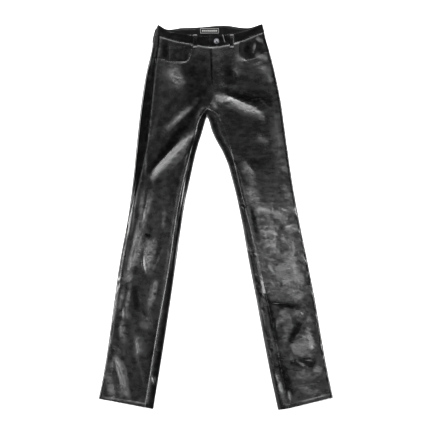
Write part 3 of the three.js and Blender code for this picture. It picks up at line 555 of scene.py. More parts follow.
class Drape:
    """How the front layer lies: its height over every plan place."""

    ROLL = (5.0, 32.0)
    RELIEF = (4.0, 22.0)
    FINE = (1.0, 6.0)
    LOFT = 0.8

    def top(self, side: Side, x: Array, y: Array, hem: Array = 0.0) -> Array:
        """Top of the front layer.

        Formula: the layers' flat height, rolled up to the folds along the edges, plus the folds and
        creases, which fade out at the edges and in the hem.

        Args:
            side: The side that the places are on.
            x: Plan places across.
            y: Plan places up the garment.
            hem: 0 above the turned hem and 1 in it.

        Returns:
            Heights above the surface.
        """
        outer, inner = side.fold_distances(x, y)
        nearest = np.minimum(outer, inner)
        hip = HIP_LIFT * ease(y, 380.0, 440.0)
        flat = lift_at(y) + hip + 2.0 * mix(LEATHER, HEM_WALL, hem) + LAYER_GAP
        edge = lift_at(y) + 2.0 * FOLD_RADIUS
        roll = 1.0 - ease(nearest, *self.ROLL)
        main = np.maximum(self.LOFT + sum(fold.at(x, y) for fold in MAIN_FOLDS), 0.0)
        relief = main * ease(nearest, *self.RELIEF)
        fine = self.fine(side, x, y) * ease(nearest, *self.FINE)
        return mix(flat, np.maximum(edge, flat), roll) + (relief + fine) * (1.0 - hem)

    def fine(self, side: Side, x: Array, y: Array) -> Array:
        """Creases, crumples and puffed edges, without the main folds."""
        total = sum(fold.at(x, y) for fold in CREASES)
        outer, inner = side.fold_distances(x, y)
        for puff in EDGE_PUFFS:
            if puff.side is side.name:
                total = total + puff.at(inner if puff.inner else outer, y)
        return total + sum(crumple.at(x, y) for crumple in CRUMPLES)

    def crumple(self, side: Side, x: Array, y: Array) -> Array:
        """How worn the leather's face is, and where a painted highlight lifts its colour.

        Formula: the worn places, the waist seam, a little more down each leg, a strip beside the outseam
        and the sleek strips by the folds and the outseam, all times a broken pattern of noise. Above 0 it
        dulls the leather and lifts its colour, a painted highlight.

        Args:
            side: The side that the places are on.
            x: Plan places across.
            y: Plan places up the garment.

        Returns:
            Wear from -1, smooth and sleek, to 1.2, crazed and dull.
        """
        # Every term above 0 is a painted highlight as well as wear: it lifts the leather's base colour.
        wear_and_painted_highlight = sum(place.at(x, y) for place in WEAR_AND_PAINTED_HIGHLIGHT_PLACES)
        wear_and_painted_highlight = wear_and_painted_highlight + 0.3 * bump(waist_seam_y(x) - y, 3.0, 3.0)
        wear_and_painted_highlight = wear_and_painted_highlight + 0.22 * ease(x, 60.0, 110.0) * ease(200.0 - y, 0.0, 160.0)
        outer, inner = side.fold_distances(x, y)
        if side is RIGHT:
            seam = side.outseam_inset(y)
            wear_and_painted_highlight = wear_and_painted_highlight + 0.14 * ease(-x, 100.0, 150.0) * ease(150.0 - y, 0.0, 120.0)
            wear_and_painted_highlight = wear_and_painted_highlight - 0.9 * bump(outer, seam, 2.4) + 0.3 * bump(outer, seam + 6.0, 2.4)
            wear_and_painted_highlight = wear_and_painted_highlight - 0.4 * (1.0 - ease(outer, seam - 3.0, seam)) * ease(y, 60.0, 140.0)
        wear_and_painted_highlight = wear_and_painted_highlight - 0.7 * (1.0 - ease(outer, 3.0, 9.0))
        by_fold = 0.4 * (1.0 - ease(inner, 7.0, 10.0)) if side is LEFT else 0.0
        wear_and_painted_highlight = wear_and_painted_highlight - (0.35 - by_fold) * (1.0 - ease(inner, 19.0, 25.0))
        broken = 1.0 + 0.5 * Noise(61).at(x / 15.0, y / 7.0) + 0.5 * Noise(62).at(x / 6.0, y / 2.6)
        return np.clip(broken * wear_and_painted_highlight, -1.0, 1.2)

    def fly_raise(self, x: Array, y: Array) -> Array:
        """How far the left front stands higher over the fly's facing."""
        across = 1.0 - ease(x - centre_front_x(y), 10.0, 43.0)
        return (LEATHER + GAP) * across * ease(y, 368.0, 390.0)

    def facing(self, side: Side, x: Array, y: Array) -> Array:
        """Top of the facing in a pocket opening: flush at the outseam, then lower."""
        past = side.fold_distances(x, y)[0] - side.outseam_inset(y)
        return self.top(side, x, y) - (LEATHER + GAP) * ease(past, 2.0, 20.0)


DRAPE = Drape()


@dataclass
class Wall:
    """A cloth wall: the points of its outer and inner face on one grid, of shape (rows, columns, 3)."""

    outer: Array
    inner: Array
    present: Array | None = None
    crumple: Array | None = None

    def cells(self) -> Array:
        """True for each cell whose four corners are present."""
        rows, columns = self.outer.shape[:2]
        if self.present is None:
            return np.ones((rows - 1, columns - 1), dtype=bool)
        here = self.present
        return here[:-1, :-1] & here[1:, :-1] & here[1:, 1:] & here[:-1, 1:]

    def faces(self) -> Array:
        """Quads of both faces and of the rim, as corner numbers; inner points follow outer ones.

        Formula: the outer quads, the same reversed and shifted to the inner points, and one quad
        for each directed outer edge that no neighbour runs the other way.
        """
        rows, columns = self.outer.shape[:2]
        number = np.arange(rows * columns).reshape(rows, columns)
        corners = [number[:-1, :-1], number[1:, :-1], number[1:, 1:], number[:-1, 1:]]
        quads = np.stack(corners, axis=-1)[self.cells()]
        a, b = quads.ravel(), np.roll(quads, -1, axis=1).ravel()
        count = rows * columns
        rim = ~np.isin(a * count + b, b * count + a)
        a, b = a[rim], b[rim]
        sides = np.stack([b, a, a + count, b + count], axis=-1)
        return np.concatenate([quads, quads[:, ::-1] + count, sides])


def mesh_object(
    name: str,
    points: Array,
    faces: Array,
    smooth: bool = True,
    crumple: Array | None = None,
) -> bpy.types.Object:
    """A new mesh object from points in millimetres and faces of one size.

    Args:
        name: The object's name.
        points: Points, shape (n, 3).
        faces: Corner numbers, shape (m, 3) or (m, 4).
        smooth: True for smooth shading.
        crumple: How crumpled and worn the leather is at each point, with its painted highlight, kept as an
            attribute.

    Returns:
        The object, linked to the scene, with loose points removed and normals facing out.
    """
    used, numbers = np.unique(faces, return_inverse=True)
    faces = numbers.reshape(faces.shape)
    points = points[used] * MM
    volume = signed_volume(points, faces)
    if volume < 0.0:
        faces = faces[:, ::-1]
    mesh = bpy.data.meshes.new(name)
    mesh.vertices.add(len(points))
    mesh.vertices.foreach_set("co", points.astype(np.float32).ravel())
    size = faces.shape[1]
    mesh.loops.add(faces.size)
    mesh.loops.foreach_set("vertex_index", faces.astype(np.int32).ravel())
    mesh.polygons.add(len(faces))
    mesh.polygons.foreach_set("loop_start", np.arange(0, faces.size, size, dtype=np.int32))
    mesh.polygons.foreach_set("use_smooth", np.full(len(faces), smooth))
    mesh.update(calc_edges=True)
    mesh.validate()
    if crumple is not None:
        kept = mesh.attributes.new("crumple", "FLOAT", "POINT")
        kept.data.foreach_set("value", crumple[used].astype(np.float32))
    piece = bpy.data.objects.new(name, mesh)
    bpy.context.scene.collection.objects.link(piece)
    return piece


def signed_volume(points: Array, faces: Array) -> float:
    """Six times a closed mesh's volume, above 0 where its faces point out."""
    a, b, c = points[faces[:, 0]], points[faces[:, 1]], points[faces[:, 2]]
    total = np.einsum("ij,ij->", a, np.cross(b, c))
    if faces.shape[1] == 4:
        total += np.einsum("ij,ij->", a, np.cross(c, points[faces[:, 3]]))
    return float(total)


def wall_object(name: str, wall: Wall) -> bpy.types.Object:
    """A cloth wall as a mesh object, shaded smooth but for its rim."""
    points = np.concatenate([wall.outer.reshape(-1, 3), wall.inner.reshape(-1, 3)])
    crumple = None
    if wall.crumple is not None:
        crumple = np.concatenate([wall.crumple.ravel(), 0.0 * wall.crumple.ravel()])
    piece = mesh_object(name, points, wall.faces(), crumple=crumple)
    piece.data.set_sharp_from_angle(angle=math.radians(50.0))
    return piece


def plan(x: Array, y: Array, z: Array) -> Array:
    """Points from three arrays that broadcast together."""
    return np.stack(np.broadcast_arrays(x, y, z), axis=-1).astype(float)


def lifted(points: Array, height: float) -> Array:
    """Points moved up by a height."""
    return points + np.array([0.0, 0.0, height])


def over(x: Array, y: Array, top: Array, wall: Array) -> tuple[Array, Array]:
    """Outer and inner points of a wall that lies under a top height."""
    return plan(x, y, top), plan(x, y, top - wall)


def around(
    edge: Edge,
    distance: Array,
    wall: Array,
    top_at: Callable[[Array, Array], Array],
    turned: float = 0.0,
) -> tuple[Array, Array]:
    """Points of a wall round a fold and on over the top.

    Formula: on the fold, an arc of the fold's radius from its underside; past it, a plan point at
    the same distance on, at the height of the top.

    Args:
        edge: The fold's outermost points, one for each row.
        distance: Distances round the fold from its underside, of shape (rows, columns).
        wall: The wall's thickness.
        top_at: Height of the outer face at plan places past the fold.
        turned: How far the outer face stands outside the fold.

    Returns:
        Outer points and inner points.
    """
    column = Edge(*(np.asarray(part)[:, None] for part in (edge.x, edge.y, edge.in_x, edge.in_y)))
    angle = np.minimum(distance, FOLD_ARC) / FOLD_RADIUS - math.pi / 2.0
    past_x, past_y = column.inward(FOLD_RADIUS + np.maximum(distance - FOLD_ARC, 0.0))
    top = top_at(past_x, past_y)
    on_fold = (distance < FOLD_ARC)[..., None]
    lift = lift_at(column.y)
    faces = []
    for depth in (0.0, wall):
        radius = FOLD_RADIUS + turned - depth
        x, y = column.inward(FOLD_RADIUS - radius * np.cos(angle))
        arc = plan(x, y, lift + FOLD_RADIUS + radius * np.sin(angle))
        faces.append(np.where(on_fold, arc, plan(past_x, past_y, top - depth)))
    return faces[0], faces[1]


def turned_edge(distance: Array, depth: float = 0.15, reach: float = 1.5) -> Array:
    """How far a turned edge sinks: depth * (1 - d / reach) ** 2 within its reach."""
    return depth * np.clip(1.0 - distance / reach, 0.0, 1.0) ** 2


def stitched_groove(distance: Array, along: Array, row: float, seed: int) -> Array:
    """How far a stitch row pulls the leather down, deeper at some places than at others.

    Formula: a soft groove at the row's distance, with puckers every 7 mm that noise varies.
    """
    noise = Noise(seed).at(along / 11.0, along * 0.0 + 0.5)
    pucker = 0.22 + 0.16 * np.sin(2.0 * math.pi * along / 7.0 + 2.0 * noise) + 0.1 * noise
    return pucker * bump(distance, row, 1.3)


class Shading:
    """Builds a node tree, node by node, with each input set or linked."""

    def __init__(self, tree: bpy.types.NodeTree) -> None:
        """Keeps the tree."""
        self.tree = tree

    @classmethod
    def of_material(cls, name: str) -> tuple[bpy.types.Material, "Shading"]:
        """A new material and the builder of its tree."""
        material = bpy.data.materials.new(name)
        material.use_nodes = True
        return material, cls(material.node_tree)

    def fill(self, node: bpy.types.Node, inputs: dict[str | int, object]) -> bpy.types.Node:
        """Sets a node's inputs, or links those whose value is a socket."""
        for key, value in inputs.items():
            if isinstance(value, bpy.types.NodeSocket):
                self.tree.links.new(value, node.inputs[key])
            else:
                node.inputs[key].default_value = value
        return node

    def surface(self, inputs: dict[str | int, object]) -> None:
        """Sets or links the inputs of the material's Principled BSDF."""
        self.fill(self.tree.nodes["Principled BSDF"], inputs)

    def add(self, kind: str, inputs: dict[str | int, object], **settings: object) -> bpy.types.Node:
        """A new node of a kind, with its settings made first and then its inputs."""
        node = self.tree.nodes.new(f"ShaderNode{kind}")
        for key, value in settings.items():
            setattr(node, key, value)
        return self.fill(node, inputs)

    def place(self) -> bpy.types.NodeSocket:
        """The piece's own coordinates."""
        return self.add("TexCoord", {}).outputs["Object"]

    def relief(self, height: bpy.types.NodeSocket, strength: float, depth: float) -> bpy.types.NodeSocket:
        """The normal of a bump that is a depth in metres high."""
        relief = self.add("Bump", {"Strength": strength, "Distance": depth, "Height": height})
        return relief.outputs["Normal"]

    def tone(self, share: bpy.types.NodeSocket, start: object, end: object) -> bpy.types.NodeSocket:
        """A colour from start to end, each a colour of four parts or a socket."""
        ends = {"Factor": share, "A": start, "B": end}
        return self.add("Mix", ends, data_type="RGBA").outputs["Result"]


def opaque(colour: Sequence[float]) -> tuple[float, ...]:
    """A colour of three parts with full alpha."""
    return (*colour, 1.0)


def grain_group() -> bpy.types.NodeTree:
    """The shared leather grain: pebbles, fine wrinkles and cloudy wear.

    Returns:
        A group with inputs Vector, Pebble Scale, Wrinkle Scale, Pebbles and Wrinkles, and outputs
        Height, Cloud and Wear.
    """
    existing = bpy.data.node_groups.get("leather_grain")
    if existing:
        return existing
    group = bpy.data.node_groups.new("leather_grain", "ShaderNodeTree")
    group.interface.new_socket("Vector", in_out="INPUT", socket_type="NodeSocketVector")
    for label in ("Pebble Scale", "Wrinkle Scale", "Pebbles", "Wrinkles"):
        group.interface.new_socket(label, in_out="INPUT", socket_type="NodeSocketFloat")
    for label in ("Height", "Cloud", "Wear"):
        group.interface.new_socket(label, in_out="OUTPUT", socket_type="NodeSocketFloat")
    make = Shading(group)
    given = group.nodes.new("NodeGroupInput").outputs
    place = given["Vector"]
    sink = group.nodes.new("NodeGroupOutput")

    cells = {"Vector": place, "Scale": given["Pebble Scale"]}
    pebbles = make.add("TexVoronoi", cells, feature="SMOOTH_F1").outputs["Distance"]
    pebbles = make.add("Math", {0: pebbles, 1: given["Pebbles"]}, operation="MULTIPLY").outputs[0]
    lines = {"Vector": place, "Scale": given["Wrinkle Scale"], "Detail": 4.0, "Distortion": 0.6}
    wrinkles = make.add("TexNoise", lines, noise_type="RIDGED_MULTIFRACTAL").outputs["Fac"]
    both = {0: wrinkles, 1: given["Wrinkles"], 2: pebbles}
    make.fill(sink, {"Height": make.add("Math", both, operation="MULTIPLY_ADD").outputs[0]})
    for label, scale in (("Cloud", 9.0), ("Wear", 55.0)):
        noise = make.add("TexNoise", {"Vector": place, "Scale": scale, "Detail": 5.0})
        make.fill(sink, {label: noise.outputs["Fac"]})
    return group


@dataclass(frozen=True)
class LeatherFinish:
    """Black leather: its two tones, its gloss, its grain, and a lighter colour where the crumple attribute
    is above 0, which is a painted highlight.
    """

    name: str
    dark: tuple[float, float, float] = (0.0018, 0.0018, 0.002)
    light: tuple[float, float, float] = (0.004, 0.004, 0.0043)
    gloss: tuple[float, float] = (0.22, 0.3)
    specular: float = 0.62
    coat: float = 0.12
    stretch: tuple[float, float, float] = (1.0, 1.0, 1.0)
    pebble_scale: float = 620.0
    wrinkle_scale: float = 150.0
    pebbles: float = 0.35
    wrinkles: float = 0.16
    crumpled: float = 7.0
    dulled: float = 0.17
    # Painted highlight: the lighter colour mixed into the base colour where the crumple attribute is above
    # 0.
    wear_and_painted_highlight: tuple[float, float, float] = (0.04, 0.04, 0.041)
    bump: float = 1.0
    bump_depth: float = 0.00018

    def material(self) -> bpy.types.Material:
        """Builds the finish as a material on Object coordinates."""
        material, make = Shading.of_material(self.name)
        place = make.add("Mapping", {"Vector": make.place(), "Scale": self.stretch})
        wear_and_painted_highlight = make.add("Attribute", {}, attribute_name="crumple").outputs["Fac"]
        wrinkles = {"Value": wear_and_painted_highlight, "To Min": self.wrinkles, "To Max": self.crumpled}
        given = {
            "Vector": place.outputs["Vector"],
            "Pebble Scale": self.pebble_scale,
            "Wrinkle Scale": self.wrinkle_scale,
            "Pebbles": self.pebbles,
            "Wrinkles": make.add("MapRange", wrinkles).outputs["Result"],
        }
        grain = make.add("Group", given, node_tree=grain_group()).outputs
        tone = make.tone(grain["Cloud"], opaque(self.dark), opaque(self.light))
        span = {"From Min": 0.3, "From Max": 0.7, "To Min": self.gloss[0], "To Max": self.gloss[1]}
        gloss = make.add("MapRange", {"Value": grain["Wear"], **span}).outputs["Result"]
        dulled = make.add("Math", {0: wear_and_painted_highlight, 1: self.dulled, 2: gloss}, operation="MULTIPLY_ADD")
        make.surface(
            {
                # The base colour turns lighter where the crumple attribute is above 0: a painted highlight.
                "Base Color": make.tone(wear_and_painted_highlight, tone, opaque(self.wear_and_painted_highlight)),
                "Roughness": dulled.outputs[0],
                "Normal": make.relief(grain["Height"], self.bump, self.bump_depth),
                "Specular IOR Level": self.specular,
                "Coat Weight": self.coat,
                "Coat Roughness": 0.18,
            }
        )
        return material


@dataclass(frozen=True)
class ThreadFinish:
    """Black polyester thread, twisted."""

    name: str = "thread"
    colour: tuple[float, float, float] = (0.004, 0.004, 0.0045)
    roughness: float = 0.5

    def material(self) -> bpy.types.Material:
        """Builds the finish as a material with a fine twist."""
        material, make = Shading.of_material(self.name)
        wave = {"Vector": make.place(), "Scale": 900.0, "Distortion": 1.5}
        twist = make.add("TexWave", wave).outputs["Fac"]
        make.surface(
            {
                "Base Color": opaque(self.colour),
                "Roughness": self.roughness,
                "Specular IOR Level": 0.22,
                "Normal": make.relief(twist, 0.4, 0.0001),
            }
        )
        return material


@dataclass(frozen=True)
class MetalFinish:
    """Dark polished metal with fine scratches."""

    name: str = "button_metal"
    colour: tuple[float, float, float] = (0.085, 0.085, 0.09)

    def material(self) -> bpy.types.Material:
        """Builds the finish as a material whose roughness and relief vary."""
        material, make = Shading.of_material(self.name)
        fine = {"Vector": make.place(), "Scale": 700.0, "Detail": 6.0}
        scratch = make.add("TexNoise", fine).outputs["Fac"]
        gloss = make.add("MapRange", {"Value": scratch, "To Min": 0.18, "To Max": 0.42})
        make.surface(
            {
                "Base Color": opaque(self.colour),
                "Metallic": 1.0,
                "Roughness": gloss.outputs["Result"],
                "Normal": make.relief(scratch, 0.25, 0.0001),
            }
        )
        return material


@dataclass(frozen=True)
class WovenFinish:
    """A woven tape: threads that cross in object space."""

    name: str
    colour: tuple[float, float, float]
    thread: float = 0.45

    def material(self) -> bpy.types.Material:
        """Builds the finish as a material with a fine weave."""
        material, make = Shading.of_material(self.name)
        wave = {"Vector": make.place(), "Scale": 0.3 / (self.thread * MM)}
        across, along = (make.add("TexWave", wave, bands_direction=way).outputs["Fac"] for way in "XY")
        weave = make.add("Math", {0: across, 1: along}, operation="MAXIMUM").outputs[0]
        dark = opaque([0.55 * part for part in self.colour])
        make.surface(
            {
                "Base Color": make.tone(weave, dark, opaque(self.colour)),
                "Roughness": 0.75,
                "Specular IOR Level": 0.12,
                "Sheen Weight": 0.2,
                "Normal": make.relief(weave, 0.6, 0.0002),
            }
        )
        return material


@dataclass(frozen=True)
class FloorFinish:
    """A plain pale floor."""

    name: str = "pale_floor"
    colour: tuple[float, float, float] = (0.62, 0.62, 0.62)

    def material(self) -> bpy.types.Material:
        """Builds the finish as a plain matte material."""
        material, make = Shading.of_material(self.name)
        look = {"Base Color": opaque(self.colour), "Roughness": 0.9, "Specular IOR Level": 0.1}
        make.surface(look)
        return material


class Wardrobe:
    """The materials, each built once."""

    def __init__(self) -> None:
        """Builds every finish."""
        self.leather = LeatherFinish("leather_smooth").material()
        self.pebbled = LeatherFinish(
            "leather_pebbled",
            gloss=(0.23, 0.32),
            stretch=(0.8, 1.5, 1.0),
            wrinkle_scale=170.0,
            pebbles=0.45,
        ).material()
        facing = LeatherFinish("leather_facing", gloss=(0.2, 0.3), specular=0.45, coat=0.05)
        self.facing = facing.material()
        inside = LeatherFinish("leather_inside", gloss=(0.2, 0.28), specular=0.3, coat=0.0)
        self.inside = inside.material()
        self.thread = ThreadFinish().material()
        self.metal = MetalFinish().material()
        self.label = WovenFinish("woven_label", (0.004, 0.004, 0.0045)).material()
        self.label_mark = WovenFinish("woven_mark", (0.24, 0.24, 0.235)).material()


class Stitches:
    """Rows of small thread stitches, joined into one mesh for each sub-assembly."""

    PITCH = 3.4
    HALF_LENGTH = 1.25
    RADIUS = 0.26
    SEGMENTS = 6
    RINGS = 4

    def __init__(self, name: str) -> None:
        """Starts with no stitches."""
        self.name = name
        self.centres: list[Array] = []
        self.tangents: list[Array] = []

    def along(self, path: Array) -> None:
        """Adds a row of stitches along a polyline in millimetres."""
        length = np.linalg.norm(np.diff(path, axis=0), axis=1).sum()
        count = max(int(length / self.PITCH), 1)
        places = (np.arange(count) + 0.5) / count
        half = self.HALF_LENGTH / length
        start, end = resample(path, places - half), resample(path, places + half)
        tangent = end - start
        self.centres.append((start + end) / 2.0)
        self.tangents.append(tangent / np.linalg.norm(tangent, axis=1)[:, None])

    def build(self, material: bpy.types.Material) -> None:
        """Makes the stitches: ellipsoids of 4 rings of 6 points and two poles, set in their rows.

        Args:
            material: The thread's material.
        """
        turn = np.linspace(0.0, 2.0 * math.pi, self.SEGMENTS, endpoint=False)
        slope = np.linspace(-math.pi / 2.0, math.pi / 2.0, self.RINGS + 2)[1:-1]
        rings = plan(
            self.HALF_LENGTH * np.sin(slope)[:, None],
            self.RADIUS * np.cos(slope)[:, None] * np.cos(turn),
            self.RADIUS * np.cos(slope)[:, None] * np.sin(turn),
        ).reshape(-1, 3)
        poles = np.array([[-self.HALF_LENGTH, 0.0, 0.0], [self.HALF_LENGTH, 0.0, 0.0]])
        shape = np.concatenate([rings, poles])
        ring = np.arange(self.SEGMENTS)
        after = (ring + 1) % self.SEGMENTS
        tris = []
        for k in range(self.RINGS - 1):
            low, high = k * self.SEGMENTS, (k + 1) * self.SEGMENTS
            tris += [np.stack([low + ring, low + after, high + after], axis=1)]
            tris += [np.stack([low + ring, high + after, high + ring], axis=1)]
        last = (self.RINGS - 1) * self.SEGMENTS
        pole = len(rings)
        tris += [np.stack([after, ring, np.full_like(ring, pole)], axis=1)]
        tris += [np.stack([last + ring, last + after, np.full_like(ring, pole + 1)], axis=1)]
        faces = np.concatenate(tris)

        centres, tangents = np.concatenate(self.centres), np.concatenate(self.tangents)
        sides = np.cross(np.array([0.0, 0.0, 1.0]), tangents)
        sides /= np.linalg.norm(sides, axis=1)[:, None]
        ups = np.cross(tangents, sides)
        frames = np.stack([tangents, sides, ups], axis=1)
        points = centres[:, None, :] + np.einsum("pk,nkd->npd", shape, frames)
        shifts = np.arange(len(centres))[:, None, None] * len(shape)
        piece = mesh_object(self.name, points.reshape(-1, 3), (faces + shifts).reshape(-1, 3))
        place(piece, material, Slot.LEATHER)
        LOG.info("%s: %d stitches", self.name, len(centres))


def place(piece: bpy.types.Object, material: bpy.types.Material, slot: Slot) -> None:
    """Gives a piece its material and its body."""
    piece.data.materials.append(material)
    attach(piece, "root")


def dress(piece: bpy.types.Object, material: bpy.types.Material, slot: Slot, node: str) -> None:
    """Places a piece that stands for a node of the frame."""
    place(piece, material, slot)
    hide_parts(node)
    LOG.info("%s: %d faces for %s", piece.name, len(piece.data.polygons), node)


def sheet(
    name: str,
    wall: Wall,
    material: bpy.types.Material,
    slot: Slot,
    node: str,
) -> None:
    """Args:
        name: The piece's name.
        wall: Its wall.
        material: Its material.
        slot: Its slot in the record; not used.
        node: The node that it stands for.
    """
    piece = wall_object(name, wall)
    dress(piece, material, slot, node)


END_STEPS = np.array([8.0, 6.2, 4.8, 3.6, 2.8, 2.2, 1.6, 1.0, 0.5, 0.0])
NEAR_STEPS = np.array([0.0, 0.5, 1.0, 1.6, 2.2, 2.8, 3.5, 4.2, 5.2, NEAR_END])
SEAT_SHARES = np.concatenate([[0.0, 0.004, 0.009, 0.015, 0.022, 0.03], np.linspace(0.042, 1.0, 66)[:-1]])
HEM_SHARE_STEPS = np.array([12.6, 12.0, 11.2, 10.0, 8.0, 6.0, 4.5, 3.0, 2.0, 1.0, 0.5, 0.0])


@dataclass
class LegRows:
    """Rows down a leg from the crotch to the hem."""

    outer_y: Array
    seam_x: Array
    seam_y: Array
    fold_x: Array
    fold_y: Array
    hem: Array

    @classmethod
    def of(cls, side: Side, steps: int) -> "LegRows":
        """Rows at even shares of the leg, closer in the turned hem.

        Args:
            side: The leg's side.
            steps: How many rows lie above the hem.

        Returns:
            The rows, with hem going from 0 to 1 in the first 1.5 mm of the hem.
        """
        length = CROTCH_OUTER_Y - side.hem_outer
        shares = np.concatenate(
            [np.linspace(0.0, 1.0 - 14.0 / length, steps), 1.0 - HEM_SHARE_STEPS / length]
        )
        seam_y = mix(CROTCH_SEAM_Y, side.hem_seam, shares)
        drop = mix(side.hem_seam - side.hem_inner, CROTCH_SEAM_Y - CROTCH_FOLD_Y, (1.0 - shares) ** 8)
        fold_y = seam_y - drop
        return cls(
            outer_y=mix(CROTCH_OUTER_Y, side.hem_outer, shares),
            seam_x=side.inseam_x(seam_y),
            seam_y=seam_y,
            fold_x=side.inner_x(fold_y),
            fold_y=fold_y,
            hem=ease((shares - 1.0) * length, -HEM_DEPTH, -HEM_DEPTH + 1.5),
        )

    def beside_seam(self, side: Side, shift: float) -> tuple[Array, Array]:
        """Points beside the inseam, on the front panel's side of it where the shift is positive."""
        upper = np.minimum(self.seam_y + 4.0, CROTCH_SEAM_Y)
        run = side.inseam_x(self.seam_y - 4.0) - side.inseam_x(upper)
        drop = upper - self.seam_y + 4.0
        length = np.hypot(run, drop)
        return (
            self.seam_x - side.sign * drop * shift / length,
            self.seam_y - side.sign * run * shift / length,
        )


def opening_points(side: Side, count: int = 200) -> Array:
    """The pocket opening's edge from the outseam up to the waist seam: a cubic Bezier curve."""
    handle_a, handle_b, end_x = side.opening
    start = np.array(even_start(side, np.array(side.pocket_y)))
    end = np.array([end_x, float(waist_seam_y(np.array(float(end_x))))])
    t = np.linspace(0.0, 1.0, count)[:, None]
    s = 1.0 - t
    curve = s**3 * start + 3 * s * s * t * np.array(handle_a) + 3 * s * t * t * np.array(handle_b)
    return curve + t**3 * end


@dataclass
class FrontPanel:
    """A front panel, cut away at the pocket opening, with its edge turned and stitched."""

    side: Side
    leg_steps: int = 330
    columns: int = 58
    opening_share: float = 0.7

    def centre_x(self, y: Array) -> Array:
        """The panel's edge at the centre front: the right one runs on under the closed fly."""
        if self.side is LEFT:
            return centre_front_x(y) + SEAM
        return centre_front_x(y) + mix(-SEAM, 10.0, ease(y, 395.0, 425.0))

    def upper_edge(self) -> Array:
        """The upper edge's points: the pocket opening, then the waist seam to the centre."""
        shares = np.linspace(0.0, 1.0, 120)
        opening = resample(opening_points(self.side), shares)
        opening[-1, 1] -= WAIST_SEAM_GAP
        top_x = np.linspace(self.side.opening[2], float(self.centre_x(np.array(SEAM_TOP_Y))), 60)
        waist = np.stack([top_x, waist_seam_y(top_x) - WAIST_SEAM_GAP], axis=1)
        return np.concatenate([opening, waist[1:]])

    def wall(self) -> Wall:
        """Works out the panel's wall.

        Formula: each row runs from the outseam to the centre or the inseam; the upper edge's bend
        away from the first row is added to each row, less and less until the crotch.
        """
        side = self.side
        seat = SEAT_SHARES
        leg = LegRows.of(side, self.leg_steps)
        leg_x, leg_y = leg.beside_seam(side, SEAM)
        seat_y = mix(SEAM_TOP_Y, CROTCH_SEAM_Y, seat)
        outer_y = np.concatenate([mix(side.pocket_y, CROTCH_OUTER_Y, seat), leg.outer_y])
        end_x = np.concatenate([self.centre_x(seat_y), leg_x])[:, None]
        end_y = np.concatenate([seat_y, leg_y])[:, None]
        hem = np.concatenate([np.zeros_like(seat), leg.hem])[:, None]
        bend = np.concatenate([(1.0 - seat) ** 1.6, np.zeros_like(leg_x)])[:, None]
        fly = DRAPE.fly_raise if side is LEFT else lambda x, y: 0.0 * x

        def top_at(x: Array, y: Array) -> Array:
            """Height of the panel's outer face."""
            return DRAPE.top(side, x, y, hem) + fly(x, y)

        edge = side.edge(outer_y)
        wall = mix(LEATHER, HEM_WALL, hem)
        start = (side.round(outer_y) + OUTSEAM)[:, None]
        near_outer, near_inner = around(edge, start + NEAR_STEPS, wall, top_at)
        from_x, from_y = near_outer[:, -1:, 0], near_outer[:, -1:, 1]
        length = np.hypot(end_x - from_x, end_y - from_y)
        even = np.linspace(0.0, 1.0, self.columns)[1:]
        u = np.concatenate([even * (1.0 - 9.5 / length), 1.0 - END_STEPS / length], axis=1)
        x, y = mix(from_x, end_x, u), mix(from_y, end_y, u)

        upper = self.upper_edge()
        count = len(upper)
        corner = 120
        at = np.concatenate(
            [
                np.linspace(0.0, self.opening_share, corner),
                np.linspace(self.opening_share, 1.0, count - corner + 1)[1:],
            ]
        )
        shift_x = np.interp(u, at, upper[:, 0]) - mix(from_x[0], end_x[0], u)
        shift_y = np.interp(u, at, upper[:, 1]) - mix(from_y[0], end_y[0], u)
        x, y = x + bend * shift_x, y + bend * shift_y

        from_top = np.hypot(x - x[:1], y - y[:1])
        from_top[len(seat) :] = FAR
        from_end = np.broadcast_to(length * (1.0 - u), x.shape)
        from_hem = np.abs(outer_y - side.hem_outer)[:, None] + 0.0 * x
        along = np.broadcast_to(end_y, x.shape)
        by_waist = 1.0 - ease(np.abs(x + 1.0), 66.0, 76.0)
        puckered = 0.5 + 0.5 * Noise(24).at(x / 5.0, y / 5.0)
        uneven = 0.75 + 0.4 * Noise(25).at(x / 14.0, 0.0 * x)
        by_pocket = puckered * turned_edge(from_top, 0.5, 3.0)
        at_waist = uneven * turned_edge(from_top, 0.85, 4.5)
        sink = np.maximum(turned_edge(from_end, 0.12, 1.8), mix(by_pocket, at_waist, by_waist))
        sink = sink + turned_edge(from_hem, 0.3, 1.6)
        sink = sink + 0.6 * stitched_groove(from_end, along, 2.2, seed=21)
        sink = sink + stitched_groove(from_top, x + y, 2.4, seed=22)
        sink = sink + 1.6 * stitched_groove(from_hem, x * 0.9, 9.5, seed=23)
        outer, inner = over(x, y, top_at(x, y) - sink, wall)
        near_sink = turned_edge(NEAR_STEPS) + 0.0 * near_outer[..., 0]
        on_top = start + NEAR_STEPS >= FOLD_ARC
        near_outer[..., 2] -= np.where(on_top, near_sink, 0.0)
        outer = np.concatenate([near_outer, outer], axis=1)
        inner = np.concatenate([near_inner, inner], axis=1)
        return Wall(outer, inner, crumple=DRAPE.crumple(side, outer[..., 0], outer[..., 1]))

    def stitch_paths(self, wall: Wall) -> list[Array]:
        """Rows of topstitching on the panel, taken along its own grid."""
        seat = len(SEAT_SHARES)
        face = lifted(wall.outer, 0.08)
        columns = face.shape[1]
        inseam = [face[seat:, columns - back] for back in (5, 9)]
        upper = [face[row, 8:-2] for row in (4, 8)]
        hem = [face[-8, 6:-3]]
        return inseam + upper + hem

